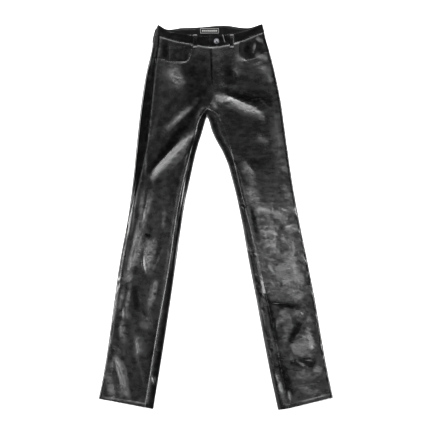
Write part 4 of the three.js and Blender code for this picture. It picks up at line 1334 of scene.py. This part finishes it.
    def fly_paths(self) -> list[Array]:
        """The curved fly stitching on the left front, in two rows, and the row by the fly's edge."""
        table = ((24, 504), (25, 463), (25, 416), (21, 395), (8, 383), (-2, 377))
        outline = resample(np.array(table, dtype=float), np.linspace(0.0, 1.0, 160))
        rows = []
        for inset in (0.0, 6.0):
            rise = -0.6 * inset * ease(-outline[:, 1], -420, -380)
            path = outline - np.stack([np.full(160, inset), rise], axis=1)
            path = path[path[:, 1] < waist_seam_y(path[:, 0]) - 2.0]
            path = path[path[:, 0] > centre_front_x(path[:, 1]) + 2.0]
            rows.append(self.lay(path))
        edge_y = np.linspace(499.0, 330.0, 60)
        edge = np.stack([centre_front_x(edge_y) + 2.4, edge_y], axis=1)
        rows.append(self.lay(edge))
        return rows

    def lay(self, path: Array) -> Array:
        """A plan path laid on the panel's outer face."""
        x, y = path[:, 0], path[:, 1]
        raise_z = DRAPE.fly_raise(x, y) if self.side is LEFT else 0.0
        return plan(x, y, DRAPE.top(self.side, x, y) + raise_z + 0.05)

    def build(self, wardrobe: Wardrobe) -> None:
        """Makes the panel and its stitches."""
        name = self.side.name.value
        wall = self.wall()
        leather = wardrobe.leather if self.side is RIGHT else wardrobe.pebbled
        node = f"front_{name}"
        sheet(f"front_panel_{name}", wall, leather, Slot.LEATHER, node)
        stitches = Stitches(f"stitches_front_{name}")
        for path in self.stitch_paths(wall):
            stitches.along(path)
        if self.side is LEFT:
            for path in self.fly_paths():
                stitches.along(path)
        stitches.build(wardrobe.thread)


@dataclass
class BackPanel:
    """A back panel: on top at the inseam, round the inner fold, under, and round the outer fold."""

    side: Side
    leg_steps: int = 330
    under_columns: int = 22
    round_columns: int = 16

    def beside_centre(self, y: Array) -> tuple[Array, Array]:
        """Points beside the centre back seam."""
        return centre_back_x(y) - self.side.sign * SEAM, y

    def wall(self) -> Wall:
        """Works out the panel's wall from its rows; above the crotch it begins at the centre back."""
        side = self.side
        seat = np.linspace(0.0, 1.0, 64)[:-1]
        leg = LegRows.of(side, self.leg_steps)
        seam_x, seam_y = leg.beside_seam(side, -SEAM)
        seam_x[0], seam_y[0] = self.beside_centre(np.array(CROTCH_SEAM_Y - GAP))
        fold_x, fold_y = leg.fold_x.copy(), leg.fold_y.copy()
        fold_x[0], fold_y[0] = self.beside_centre(np.array(CROTCH_FOLD_Y))
        width = np.hypot(seam_x - fold_x, seam_y - fold_y)
        in_x, in_y = (seam_x - fold_x) / width, (seam_y - fold_y) / width
        inner_fold = Edge(fold_x, fold_y, in_x, in_y)

        hem = leg.hem[:, None]
        wall = mix(LEATHER, HEM_WALL, hem)
        reach = (FOLD_ARC + width - FOLD_RADIUS)[:, None]
        end = END_STEPS[::-1][:7]
        middle = np.linspace(0.0, 1.0, 8)[1:]
        strip = mix(reach - end[-1], FOLD_ARC, middle)
        round_steps = np.linspace(FOLD_ARC, 0.0, 11)[1:]
        round_rows = np.broadcast_to(round_steps, (len(width), 10))
        distance = np.concatenate([reach - end, strip, round_rows], axis=1)
        top_at = self.top_at(hem)
        strip_outer, strip_inner = around(inner_fold, distance, wall, top_at)
        from_seam = reach - distance
        on_top = distance >= FOLD_ARC
        strip_outer[..., 2] -= np.where(on_top, turned_edge(from_seam), 0.0)

        bottom_x, bottom_y = inner_fold.inward(FOLD_RADIUS)
        legs = self.under_and_round(bottom_x, bottom_y, leg.outer_y, hem)
        centre_y = mix(YOKE_CENTRE_Y, CROTCH_FOLD_Y + FOLD_RADIUS, seat)
        centre_y[0] -= SEAM
        levels = np.interp(seat, [0.0, 2 / 7, 1.0], [YOKE_SIDE_Y, side.pocket_y, CROTCH_OUTER_Y])
        levels[0] -= SEAM
        centre_x, centre_y = self.beside_centre(centre_y)
        seats = self.under_and_round(centre_x, centre_y, levels, np.zeros((len(seat), 1)))
        blank = np.zeros((len(seat), distance.shape[1], 3))
        outer = np.concatenate(
            [
                np.concatenate([blank, seats[0]], axis=1),
                np.concatenate([strip_outer, legs[0]], axis=1),
            ]
        )
        inner = np.concatenate(
            [
                np.concatenate([blank, seats[1]], axis=1),
                np.concatenate([strip_inner, legs[1]], axis=1),
            ]
        )
        present = np.ones(outer.shape[:2], dtype=bool)
        present[: len(seat), : distance.shape[1]] = False
        shown = outer[..., 2] > 2.0 * FOLD_RADIUS - 2.0
        crumple = np.where(shown, DRAPE.crumple(self.side, outer[..., 0], outer[..., 1]), 0.25)
        return Wall(outer, inner, present, crumple)

    def top_at(self, hem: Array) -> Callable[[Array, Array], Array]:
        """Height of the outer face where the panel lies on top."""
        return lambda x, y: DRAPE.top(self.side, x, y, hem)

    def under_and_round(
        self,
        from_x: Array,
        from_y: Array,
        outer_y: Array,
        hem: Array,
    ) -> tuple[Array, Array]:
        """The stretch of each row under the garment and round its outer fold to the outseam."""
        side = self.side
        wall = mix(LEATHER, HEM_WALL, hem)
        end_x, end_y = fold_start(side, outer_y)
        u = np.linspace(0.0, 1.0, self.under_columns + 1)[1:-1]
        x = mix(from_x[:, None], end_x[:, None], u)
        y = mix(from_y[:, None], end_y[:, None], u)
        first = plan(from_x[:, None], from_y[:, None], lift_at(from_y[:, None]))
        low = np.concatenate([first, plan(x, y, lift_at(y))], axis=1)
        high = low + np.array([0.0, 0.0, 1.0]) * wall[..., None]
        reach = (side.round(outer_y) - OUTSEAM)[:, None]
        shares = np.linspace(0.0, 1.0, self.round_columns)
        outer, inner = around(side.edge(outer_y), reach * shares, wall, self.top_at(hem))
        past = reach * (1.0 - shares)
        outer[..., 2] -= np.where(reach * shares >= FOLD_ARC, turned_edge(past), 0.0)
        return np.concatenate([low, outer], axis=1), np.concatenate([high, inner], axis=1)

    def build(self, wardrobe: Wardrobe) -> None:
        """Makes the panel and the stitches along its hem, on the strip that shows and under."""
        name = self.side.name.value
        wall = self.wall()
        leather = wardrobe.leather if self.side is RIGHT else wardrobe.pebbled
        sheet(f"back_panel_{name}", wall, leather, Slot.LEATHER, f"back_{name}")
        stitches = Stitches(f"stitches_back_{name}")
        stitches.along(lifted(wall.outer[-8, :12], 0.05))
        seat_rows = 63
        stitches.along(lifted(wall.outer[:seat_rows, 27], 0.05))
        stitches.build(wardrobe.thread)


@dataclass
class Yoke:
    """A back yoke, between the waistband's back length and a back panel."""

    side: Side
    rows: int = 24

    def build(self, wardrobe: Wardrobe) -> None:
        """Makes the yoke as one wall under the garment and round the outer fold."""
        side = self.side
        share = np.linspace(0.0, 1.0, self.rows)
        outer_y = mix(side.waist_y - WAIST_SEAM_GAP, YOKE_SIDE_Y + SEAM, share)
        centre_y = mix(BAND_BACK_CENTRE_Y - WAIST_SEAM_GAP, YOKE_CENTRE_Y + SEAM, share)
        panel = BackPanel(side)
        centre_x, centre_y = panel.beside_centre(centre_y)
        wall = Wall(*panel.under_and_round(centre_x, centre_y, outer_y, np.zeros((self.rows, 1))))
        name = side.name.value
        sheet(f"back_yoke_{name}", wall, wardrobe.leather, Slot.LEATHER, f"yoke_{name}")


@dataclass
class FrontPocket:
    """What shows in a front pocket opening: its facing, and on the right a coin pocket."""

    side: Side
    rows: int = 64
    columns: int = 60
    allowance: float = 12.0
    corner: float = 0.45

    def beside(self, share: Array) -> Array:
        """Points beside the opening's edge: just inside it at the outseam, then under the panel."""
        curve = opening_points(self.side, 400)
        step = 1e-3
        here = resample(curve, share)
        ahead = resample(curve, np.clip(share + step, 0.0, 1.0))
        back = resample(curve, np.clip(share - step, 0.0, 1.0))
        way = ahead - back
        way /= np.linalg.norm(way, axis=-1, keepdims=True)
        x, y = here[..., 0], here[..., 1]
        past = self.side.fold_distances(x, y)[0] - self.side.outseam_inset(y)
        out = mix(-GAP, self.allowance, ease(past, 24.0, 44.0))
        normal = np.stack([way[..., 1], -way[..., 0]], axis=-1)
        return here + self.side.sign * normal * out[..., None]

    def wall(self) -> Wall:
        """Works out the facing: a Coons patch between the outseam, the waist and the opening."""
        side = self.side
        v = np.linspace(0.0, 1.0, self.rows)
        levels = np.interp(v, [0.0, 0.5, 1.0], [side.waist_y, YOKE_SIDE_Y, side.pocket_y])
        levels[0] -= WAIST_SEAM_GAP
        levels[-1] += GAP

        def top_at(x: Array, y: Array) -> Array:
            """Height of the facing's outer face."""
            return DRAPE.facing(side, x, y)

        start = (side.round(levels) + OUTSEAM)[:, None]
        near_outer, near_inner = around(side.edge(levels), start + NEAR_STEPS, LEATHER, top_at)
        outer_edge = near_outer[:, -1, :2]
        u = np.linspace(0.0, 1.0, self.columns)
        inner_edge = self.beside(mix(1.0, self.corner, v))
        waist_end = inner_edge[0].copy()
        waist_end[1] = waist_seam_y(waist_end[:1])[0] - WAIST_SEAM_GAP
        inner_edge[0] = waist_end
        waist_x = np.linspace(outer_edge[0, 0], waist_end[0], self.columns)
        waist = np.stack([waist_x, waist_seam_y(waist_x) - WAIST_SEAM_GAP], axis=1)
        low = self.beside(mix(0.0, self.corner, u))
        uu, vv = u[None, :, None], v[:, None, None]
        across = mix(waist[None], low[None], vv) + mix(outer_edge[:, None], inner_edge[:, None], uu)
        corners = mix(mix(waist[0], waist[-1], uu), mix(low[0], low[-1], uu), vv)
        points = across - corners
        x, y = points[..., 0], points[..., 1]
        from_seam = waist_seam_y(x) - WAIST_SEAM_GAP - y
        sink = turned_edge(from_seam, 0.45, 4.0)
        outer, inner = over(x, y, top_at(x, y) - sink, LEATHER)
        wall = Wall(
            np.concatenate([near_outer[:, :-1], outer], axis=1),
            np.concatenate([near_inner[:, :-1], inner], axis=1),
        )
        wall.crumple = DRAPE.crumple(side, wall.outer[..., 0], wall.outer[..., 1])
        return wall

    def coin_pocket(self) -> Wall:
        """The coin pocket's wall, from its turned top edge down to the opening."""
        curve = opening_points(self.side, 400)
        x = np.linspace(-137.0, -90.0, 40)
        below = np.interp(x, curve[:300, 0], curve[:300, 1]) + 2.2
        v = np.linspace(0.0, 1.0, 36)[:, None]
        y = mix(503.0, below, v)
        x = np.broadcast_to(x, y.shape)
        top = DRAPE.facing(self.side, x, y) + GAP + 1.0
        from_top = 503.0 - y
        from_side = np.minimum(x + 137.0, -90.0 - x)
        sink = turned_edge(np.minimum(from_top, from_side), 0.15)
        sink = sink + 0.7 * stitched_groove(from_top, x, 3.0, seed=31)
        return Wall(*over(x, y, top - sink, 1.0))

    def build(self, wardrobe: Wardrobe) -> None:
        """Makes the facing, and the coin pocket with its stitches on the right side."""
        name = self.side.name.value
        facing = f"front_pocket_facing_{name}"
        sheet(facing, self.wall(), wardrobe.facing, Slot.FACING, f"pocket_facing_{name}")
        if self.side is LEFT:
            return
        coin = self.coin_pocket()
        sheet("coin_pocket_patch", coin, wardrobe.facing, Slot.FACING, "coin_pocket")
        stitches = Stitches("stitches_coin_pocket")
        face = lifted(coin.outer, 0.06)
        for path in (face[3, 1:-1], face[7, 1:-1], face[3:, 2], face[3:, -3]):
            stitches.along(path)
        stitches.build(wardrobe.thread)


@dataclass
class Waistband:
    """The waistband: its back length, the facing seen inside it, and its two front lengths."""

    rows: int = 22
    columns: int = 150
    under_end_x: float = 20.0
    over_end_x: float = -19.5
    hole: tuple[float, float, float, float] = (4.7, 518.0, 12.0, 6.6)

    def build(self, wardrobe: Wardrobe) -> None:
        """Makes the four pieces and their stitches."""
        self.build_back(wardrobe)
        self.build_facing(wardrobe)
        stitches = Stitches("stitches_waistband")
        for side in SIDES:
            wall = self.front_wall(side)
            name = side.name.value
            node = f"waistband_{name}"
            sheet(f"waistband_front_{name}", wall, wardrobe.leather, Slot.LEATHER, node)
            face = lifted(wall.outer, 0.06)
            last = -7 if side is RIGHT else -3
            stitches.along(face[3, 6:last])
            stitches.along(face[-4, 6:last])
            if side is LEFT:
                stitches.along(face[3:-3, -4])
        stitches.build(wardrobe.thread)

    def build_back(self, wardrobe: Wardrobe) -> None:
        """The back length: under the garment and up round both outer folds."""
        share = np.linspace(0.0, 1.0, self.rows)
        raised = WAIST_SEAM_GAP * (1.0 - share)
        turns = {}
        starts = {}
        for side in SIDES:
            y = mix(side.waist_y, side.top_y, share) + raised
            reach = (side.round(y) - OUTSEAM)[:, None] * np.linspace(0.0, 1.0, 14)
            level = lift_at(y)[:, None] + 2.0 * FOLD_RADIUS
            turns[side] = around(side.edge(y), reach, LEATHER, lambda x, _, z=level: z + 0.0 * x)
            starts[side] = fold_start(side, y)
        centre = float(centre_back_x(np.array(BAND_BACK_CENTRE_Y)))
        u = np.linspace(0.0, 1.0, self.columns // 2)
        right = mix(starts[RIGHT][0][:, None], centre, u[1:])
        left = mix(centre, starts[LEFT][0][:, None], u[1:-1])
        x = np.concatenate([right, left], axis=1)
        y = mix(back_waist_y(x), back_top_y(x), share[:, None]) + raised[:, None]
        z = lift_at(y)
        under = plan(x, y, z)
        layers = []
        for k, depth in enumerate((0.0, LEATHER)):
            layers.append(
                np.concatenate(
                    [turns[RIGHT][k][:, ::-1], lifted(under, depth), turns[LEFT][k]],
                    axis=1,
                )
            )
        wall = Wall(*layers)
        sheet("waistband_back_length", wall, wardrobe.leather, Slot.LEATHER, "waistband_back")

    def build_facing(self, wardrobe: Wardrobe) -> None:
        """The facing inside the back length, gently waved, with one row of stitches."""
        x = np.linspace(-158.0, 126.0, 140)[None, :]
        share = np.linspace(0.05, 0.96, 26)[:, None]
        y = mix(back_waist_y(x), back_top_y(x), share)
        noise = Noise(41)
        wave = 0.12 * noise.at(x / 26.0 + 3.0, y / 20.0) + 0.05 * noise.at(x / 7.0, y / 9.0)
        from_top = (0.96 - share) * (back_top_y(x) - back_waist_y(x))
        sink = turned_edge(from_top, 0.4) + stitched_groove(from_top, x + 0.0 * y, 3.0, seed=42)
        x = np.broadcast_to(x, y.shape)
        wall = Wall(*over(x, y, BAND_FACING_TOP + wave - sink - 0.12, BAND_FACING_WALL))
        sheet("waistband_inner_facing", wall, wardrobe.inside, Slot.FACING, "waistband_facing")
        stitches = Stitches("stitches_waistband_facing")
        stitches.along(lifted(wall.outer[-4, 2:-2], 0.05))
        stitches.build(wardrobe.thread)

    def top(self, x: Array, is_over: bool) -> Array:
        """Height of a front length: the over end climbs on to the under one."""
        climb = ease(64.0 - x, 0.0, 42.0) if is_over else 0.0
        return BAND_TOP + OVER_RAISE * climb

    def front_wall(self, side: Side) -> Wall:
        """A front length from the side to the button, with turned edges and the buttonhole open."""
        is_over = side is LEFT
        steps = np.array([0.0, 0.4, 0.9, 1.5, 2.2, 3.0, 4.0])
        height = 34.0
        share = np.concatenate(
            [steps / height, np.linspace(0.15, 0.85, self.rows), 1.0 - steps[::-1] / height]
        )
        raised = WAIST_SEAM_GAP * (1.0 - share)
        level_y = mix(side.waist_y, side.top_y, share) + raised
        start = (side.round(level_y) + OUTSEAM)[:, None]

        def top_at(x: Array, _: Array) -> Array:
            """Height of the length's outer face."""
            return self.top(x, is_over)

        near_outer, near_inner = around(side.edge(level_y), start + NEAR_STEPS, BAND_WALL, top_at)
        from_x = near_outer[:, -1:, 0]
        end_x = self.over_end_x if is_over else self.under_end_x
        length = np.abs(end_x - from_x)
        even = np.linspace(0.0, 1.0, self.columns)[1:]
        u = np.concatenate([even * (1.0 - 9.5 / length), 1.0 - END_STEPS / length], axis=1)
        x = mix(from_x, end_x, u)
        y = mix(waist_seam_y(x), front_top_y(x), share[:, None]) + raised[:, None]
        low, high = waist_seam_y(x), front_top_y(x)
        from_edge = np.minimum(y - low, high - y)
        from_end = np.abs(x - end_x)
        sink = turned_edge(from_edge, 0.08, 1.8) + turned_edge(from_end, 0.12, 1.8)
        sink = sink + 0.7 * stitched_groove(np.minimum(y - low, high - y), x, 2.6, seed=43)
        noise = Noise(44)
        inside = ease(from_edge, 1.5, 8.0)
        wave = 0.16 * inside * noise.at(x / 15.0, y / 13.0) + 0.03 * inside * noise.at(x / 5.0, y / 6.0)
        outer, inner = over(x, y, top_at(x, y) - sink + wave, BAND_WALL - sink + wave)
        wall = Wall(
            np.concatenate([near_outer, outer], axis=1), np.concatenate([near_inner, inner], axis=1)
        )
        # Painted highlight: a thin lighter strip beside the button on the over length, through the crumple
        # attribute; the rest of the length is sleek.
        bar_x = 25.5 - 0.28 * (wall.outer[..., 1] - 518.0)
        bar = bump(wall.outer[..., 0], bar_x, 1.8) * ease(wall.outer[..., 1], 512.0, 518.0)
        wall.crumple = 1.4 * bar * float(is_over) - 0.5
        if is_over:
            hole_x, hole_y, long, wide = self.hole
            px, py = wall.outer[..., 0], wall.outer[..., 1]
            along = np.maximum(np.abs(px - hole_x) - (long - wide) / 2.0, 0.0)
            wall.present = np.hypot(along, py - hole_y) > wide / 2.0
        return wall


@dataclass
class BackPocket:
    """A patch pocket under the seat: five sides with turned edges."""

    side: Side
    x: float
    top_y: float = 446.0
    half_top: float = 62.0
    half_foot: float = 54.0
    shoulder_y: float = 334.0
    point_y: float = 308.0

    def build(self, wardrobe: Wardrobe) -> None:
        """Makes the pocket as a wall on a grid that narrows to its foot."""
        steps = np.array([0.0, 0.5, 1.0, 1.6])
        u = np.concatenate([-1.0 + steps / 60.0, np.linspace(-0.94, 0.94, 40), 1.0 - steps[::-1] / 60.0])
        v = np.concatenate([steps / 120.0, np.linspace(0.03, 0.97, 44), 1.0 - steps[::-1] / 120.0])[:, None]
        foot_y = mix(self.point_y, self.shoulder_y, np.abs(u))
        y = mix(self.top_y, foot_y, v)
        half = mix(self.half_top, self.half_foot, (self.top_y - y) / (self.top_y - self.shoulder_y))
        x = self.x + u * np.minimum(half, self.half_top)
        from_edge = np.minimum(np.minimum(self.top_y - y, y - foot_y), (1.0 - np.abs(u)) * 58.0)
        sink = turned_edge(from_edge, 0.4)
        wall = Wall(plan(x, y, sink), plan(x, y, np.full_like(x, LEATHER)))
        name = self.side.name.value
        node = f"back_pocket_{name}"
        sheet(f"back_patch_pocket_{name}", wall, wardrobe.leather, Slot.LEATHER, node)


@dataclass
class BeltLoops:
    """The belt loops: two on the front, one bent round the right side, two under the back."""

    half_width: float = 6.0
    wall_thickness: float = 1.3
    clear: float = 0.5
    bow: float = 1.0
    top_y: float = 537.0
    bottom_y: float = 497.0

    def build(self, wardrobe: Wardrobe) -> None:
        """Makes all five loops and the front ones' stitches."""
        stitches = Stitches("stitches_belt_loops")
        for side, x in ((RIGHT, -61.0), (LEFT, 47.0)):
            wall = self.front_wall(side, x)
            name = side.name.value
            strap, node = f"belt_loop_front_strap_{name}", f"belt_loop_front_{name}"
            sheet(strap, wall, wardrobe.leather, Slot.LEATHER, node)
            face = lifted(wall.outer, 0.04)
            for column in (4, -5):
                stitches.along(face[2:-2, column])
        stitches.build(wardrobe.thread)
        self.build_side(wardrobe)
        self.build_back(wardrobe, "centre", -18.0)
        self.build_back(wardrobe, "left", 112.0)

    def front_wall(self, side: Side, x: float) -> Wall:
        """A front loop, bowed over the waistband, with a ridge where its foot is folded under."""
        across = np.array([-6.0, -5.7, -5.2, -4.6, -4.2, -3.6, -2.0, 0.0])
        across = np.concatenate([across, -across[-2::-1]])[None, :]
        share = np.linspace(0.0, 1.0, 44)[:, None]
        y = mix(self.top_y, self.bottom_y, share) + 0.0 * across
        xs = x + across + 0.0 * share
        band = Waistband().top(xs, side is LEFT)
        base = np.maximum(band, DRAPE.top(side, xs, y) - DRAPE.fine(side, xs, y))
        rise = self.clear + self.wall_thickness + self.bow * np.sin(math.pi * share)
        ends = np.minimum(share, 1.0 - share) * (self.top_y - self.bottom_y)
        sink = turned_edge(np.minimum(self.half_width - np.abs(across), ends), 0.15)
        sink = sink + 0.1 * bump(np.abs(across), 4.2, 0.7)
        fold = 0.5 * bump(y, self.bottom_y + 3.0, 2.2)
        top = base + rise - sink + fold
        # The folded foot gets a painted highlight through the crumple attribute; the rest of the loop and
        # its top end are sleek.
        wear_and_painted_highlight = 1.8 * bump(y, self.bottom_y + 4.0, 2.8) - 0.5 - 0.5 * bump(y, self.top_y, 4.0)
        return Wall(plan(xs, y, top), plan(xs, y, base + rise - self.wall_thickness), None, wear_and_painted_highlight)

    def build_side(self, wardrobe: Wardrobe) -> None:
        """The loop bent round the fold at the right side."""
        y = np.linspace(554.0, 514.0, 36)
        angles = np.linspace(-1.17, 1.17, 14) * FOLD_RADIUS + FOLD_ARC / 2.0
        distance = np.broadcast_to(angles, (len(y), len(angles)))
        turned = GAP + self.wall_thickness
        walls = around(RIGHT.edge(y), distance, self.wall_thickness, lambda x, _: 0.0 * x, turned)
        wall = Wall(*walls, None, np.full(distance.shape, -0.7))
        node = "belt_loop_side_right"
        sheet("belt_loop_side_strap", wall, wardrobe.leather, Slot.LEATHER, node)

    def build_back(self, wardrobe: Wardrobe, name: str, x: float) -> None:
        """A loop that lies flat under the waistband's back."""
        across = np.array([-6.0, -5.6, -5.0, -4.2, 0.0, 4.2, 5.0, 5.6, 6.0])[None, :]
        y = np.linspace(556.0, 506.0, 30)[:, None] + 0.0 * across
        xs = x + across + 0.0 * y
        low = turned_edge(self.half_width - np.abs(across), 0.4) + 0.0 * y
        wall = Wall(plan(xs, y, low), plan(xs, y, np.full_like(xs, LEATHER)))
        node = f"belt_loop_back_{name}"
        sheet(f"belt_loop_back_strap_{name}", wall, wardrobe.leather, Slot.LEATHER, node)


@dataclass
class Button:
    """The waistband's shank button: a dished metal cap with a rolled rim and a ring of dots."""

    x: float = 2.0
    y: float = 518.0
    radius: float = 8.5
    shank: float = 2.6
    turns: int = 72

    def build(self, wardrobe: Wardrobe) -> None:
        """Makes the button by turning its profile about its axis."""
        cap = OVER_RAISE + GAP
        rim_angle = np.linspace(-math.pi / 2.0, math.pi * 0.75, 14)
        rim = np.stack(
            [self.radius - 1.0 + 1.0 * np.cos(rim_angle), cap + 1.0 + 1.0 * np.sin(rim_angle)], axis=1
        )
        dish = [[6.4, 1.45], [5.9, 1.3], [5.2, 1.35], [4.6, 1.75], [3.6, 2.1], [2.2, 2.3], [0.9, 2.38]]
        dish = np.array(dish)
        dish[:, 1] += cap
        profile = np.concatenate(
            [
                [[0.4, GAP], [self.shank - 0.3, GAP], [self.shank, GAP + 0.3]],
                [[self.shank, cap - 0.2], [self.shank + 0.6, cap]],
                rim,
                dish,
            ]
        )
        turn = np.linspace(0.0, 2.0 * math.pi, self.turns, endpoint=False)
        radius, height = profile[:, :1], profile[:, 1:]
        knurl = 0.12 * bump(radius, 5.6, 0.5) * (height > cap + 0.5) * np.cos(24.0 * turn)
        rings = plan(
            self.x + radius * np.cos(turn), self.y + radius * np.sin(turn), BAND_TOP + height + knurl
        )
        count = len(profile)
        points = np.concatenate(
            [
                rings.reshape(-1, 3),
                [[self.x, self.y, BAND_TOP + GAP], [self.x, self.y, BAND_TOP + cap + 2.4]],
            ]
        )
        here = np.arange(self.turns)
        after = (here + 1) % self.turns
        row = (np.arange(count - 1) * self.turns)[:, None]
        low = np.stack([row + here, row + after, row + self.turns + after], axis=-1).reshape(-1, 3)
        high = np.stack([row + here, row + self.turns + after, row + self.turns + here], axis=-1)
        last = (count - 1) * self.turns
        foot = np.stack([after, here, np.full_like(here, count * self.turns)], axis=1)
        crown = np.stack([last + here, last + after, np.full_like(here, count * self.turns + 1)], axis=1)
        faces = np.concatenate([low, high.reshape(-1, 3), foot, crown])
        piece = mesh_object("shank_button", points, faces)
        dress(piece, wardrobe.metal, Slot.METAL, "button")


@dataclass
class Label:
    """The woven label inside the back: dark, with a light frame and a plain row of lozenges."""

    x: float = -18.5
    y: float = 549.0
    width: float = 57.0
    height: float = 16.5

    def build(self, wardrobe: Wardrobe) -> None:
        """Makes the tape, and the light threads that stand a little over it."""
        bottom = BAND_FACING_TOP + GAP
        u, v = np.linspace(-0.5, 0.5, 40)[None, :], np.linspace(-0.5, 0.5, 14)[:, None]
        x, y = self.x + self.width * u + 0.0 * v, self.y + self.height * v + 0.0 * u
        wave = 0.05 * np.sin(x * 0.35) * np.cos(y * 0.5)
        wall = Wall(plan(x, y, bottom + LABEL_WALL + wave), plan(x, y, np.full_like(x, bottom)))
        sheet("woven_label_tape", wall, wardrobe.label, Slot.WOVEN, "label")
        place(self.marks(bottom + LABEL_WALL), wardrobe.label_mark, Slot.WOVEN)

    def marks(self, z: float) -> bpy.types.Object:
        """The frame's four bars, the lozenges and the bars between them, as thin raised plates."""
        half_w, half_h = self.width / 2.0 - 1.6, self.height / 2.0 - 1.6
        shapes = [self.bar(0.0, side * half_h, half_w, 0.55) for side in (-1.0, 1.0)]
        shapes += [self.bar(side * half_w, 0.0, 0.55, half_h) for side in (-1.0, 1.0)]
        centres = np.linspace(-half_w + 6.0, half_w - 6.0, 8)
        shapes += [self.lozenge(centre, 2.0, 3.6) for centre in centres]
        between = (centres[1:] + centres[:-1]) / 2.0
        shapes += [self.bar(centre, 0.0, 0.5, 3.2) for centre in between]
        corners = np.array(shapes) + np.array([self.x, self.y])
        heights = np.array([z - 0.1, z + 0.16])
        points = np.concatenate(
            [
                np.concatenate([corners, np.full((*corners.shape[:2], 1), height)], axis=2)
                for height in heights
            ],
            axis=1,
        ).reshape(-1, 3)
        box = np.array([[3, 2, 1, 0], [4, 5, 6, 7], [0, 1, 5, 4], [1, 2, 6, 5], [2, 3, 7, 6], [3, 0, 4, 7]])
        faces = (np.arange(len(corners))[:, None, None] * 8 + box).reshape(-1, 4)
        return mesh_object("woven_label_marks", points, faces, smooth=False)

    @staticmethod
    def bar(x: float, y: float, half_w: float, half_h: float) -> list[tuple[float, float]]:
        """An upright rectangle's corners."""
        corners = ((-1.0, -1.0), (1.0, -1.0), (1.0, 1.0), (-1.0, 1.0))
        return [(x + across * half_w, y + up * half_h) for across, up in corners]

    @staticmethod
    def lozenge(x: float, half_w: float, half_h: float) -> list[tuple[float, float]]:
        """A lozenge's corners."""
        return [(x, -half_h), (x + half_w, 0.0), (x, half_h), (x - half_w, 0.0)]


@dataclass
class Studio:
    """The pale floor, the soft lights and the overhead camera."""

    centre: tuple[float, float] = (-0.0025, 0.0056)
    view_height: float = 1.2685
    lens: float = 135.0
    sensor: float = 36.0
    floor_half: float = 6.0
    lamp_reach: float = 2.6
    ambient: float = 0.02

    def build(self) -> None:
        """Makes floor, lights and camera."""
        self.floor()
        for name, azimuth, zenith, power, size in (
            ("light_head", 90.0, 40.0, 58.0, (0.8, 2.0)),
            ("light_head_fill", 90.0, 40.0, 10.0, (1.2, 3.2)),
            ("light_left", 176.0, 34.0, 66.0, (0.8, 2.0)),
            ("light_left_fill", 176.0, 34.0, 12.0, (1.8, 3.2)),
            ("light_right", 4.0, 34.0, 50.0, (0.8, 2.0)),
            ("light_right_fill", 4.0, 34.0, 9.0, (1.8, 3.2)),
            ("light_foot", 270.0, 42.0, 12.0, (0.8, 1.4)),
        ):
            self.light(name, azimuth, zenith, power, size)
        world = bpy.data.worlds.new("studio")
        bpy.context.scene.world = world
        world.use_nodes = True
        background = world.node_tree.nodes["Background"]
        background.inputs["Color"].default_value = (1.0, 1.0, 1.0, 1.0)
        background.inputs["Strength"].default_value = self.ambient
        bpy.context.scene.view_settings.view_transform = "Standard"
        bpy.context.scene.view_settings.look = "High Contrast"
        self.camera()

    def floor(self) -> None:
        """A square floor at the height the trousers rest on."""
        half = self.floor_half / MM
        corners = np.array([[-half, -half, 0.0], [half, -half, 0.0], [half, half, 0.0], [-half, half, 0.0]])
        floor = mesh_object("floor", corners, np.array([[0, 1, 2, 3]]), smooth=False)
        floor.data.materials.append(FloorFinish().material())

    def light(
        self,
        name: str,
        azimuth: float,
        zenith: float,
        power: float,
        size: tuple[float, float],
    ) -> None:
        """A soft light that looks at the middle of the garment.

        Args:
            name: The light's name.
            azimuth: Where it stands round the garment, in degrees from +X.
            zenith: Its angle from straight above, in degrees.
            power: Its power in watts.
            size: Its width and length in metres.
        """
        lamp = bpy.data.lights.new(name, "AREA")
        lamp.shape = "RECTANGLE"
        lamp.size, lamp.size_y = size
        lamp.energy = power
        piece = bpy.data.objects.new(name, lamp)
        bpy.context.scene.collection.objects.link(piece)
        turn, lean = math.radians(azimuth), math.radians(zenith)
        out = self.lamp_reach * math.sin(lean)
        piece.location = (
            out * math.cos(turn),
            out * math.sin(turn),
            self.lamp_reach * math.cos(lean),
        )
        piece.rotation_euler = (0.0, lean, turn)

    def camera(self) -> None:
        """The camera straight above, framed as in the photo."""
        camera = bpy.data.cameras.new("camera")
        camera.lens = self.lens
        camera.sensor_width = self.sensor
        piece = bpy.data.objects.new("camera", camera)
        bpy.context.scene.collection.objects.link(piece)
        distance = self.view_height * self.lens / self.sensor
        piece.location = (*self.centre, distance + 0.005)
        bpy.context.scene.camera = piece


def main() -> None:
    logging.basicConfig(level=logging.INFO, format="%(name)s: %(message)s")
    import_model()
    wardrobe = Wardrobe()
    for side in SIDES:
        FrontPanel(side).build(wardrobe)
        BackPanel(side).build(wardrobe)
        Yoke(side).build(wardrobe)
        FrontPocket(side).build(wardrobe)
    BackPocket(RIGHT, -112.0).build(wardrobe)
    BackPocket(LEFT, 80.0).build(wardrobe)
    Waistband().build(wardrobe)
    BeltLoops().build(wardrobe)
    Button().build(wardrobe)
    Label().build(wardrobe)
    Studio().build()
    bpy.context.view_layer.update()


if __name__ == "__main__":
    main()
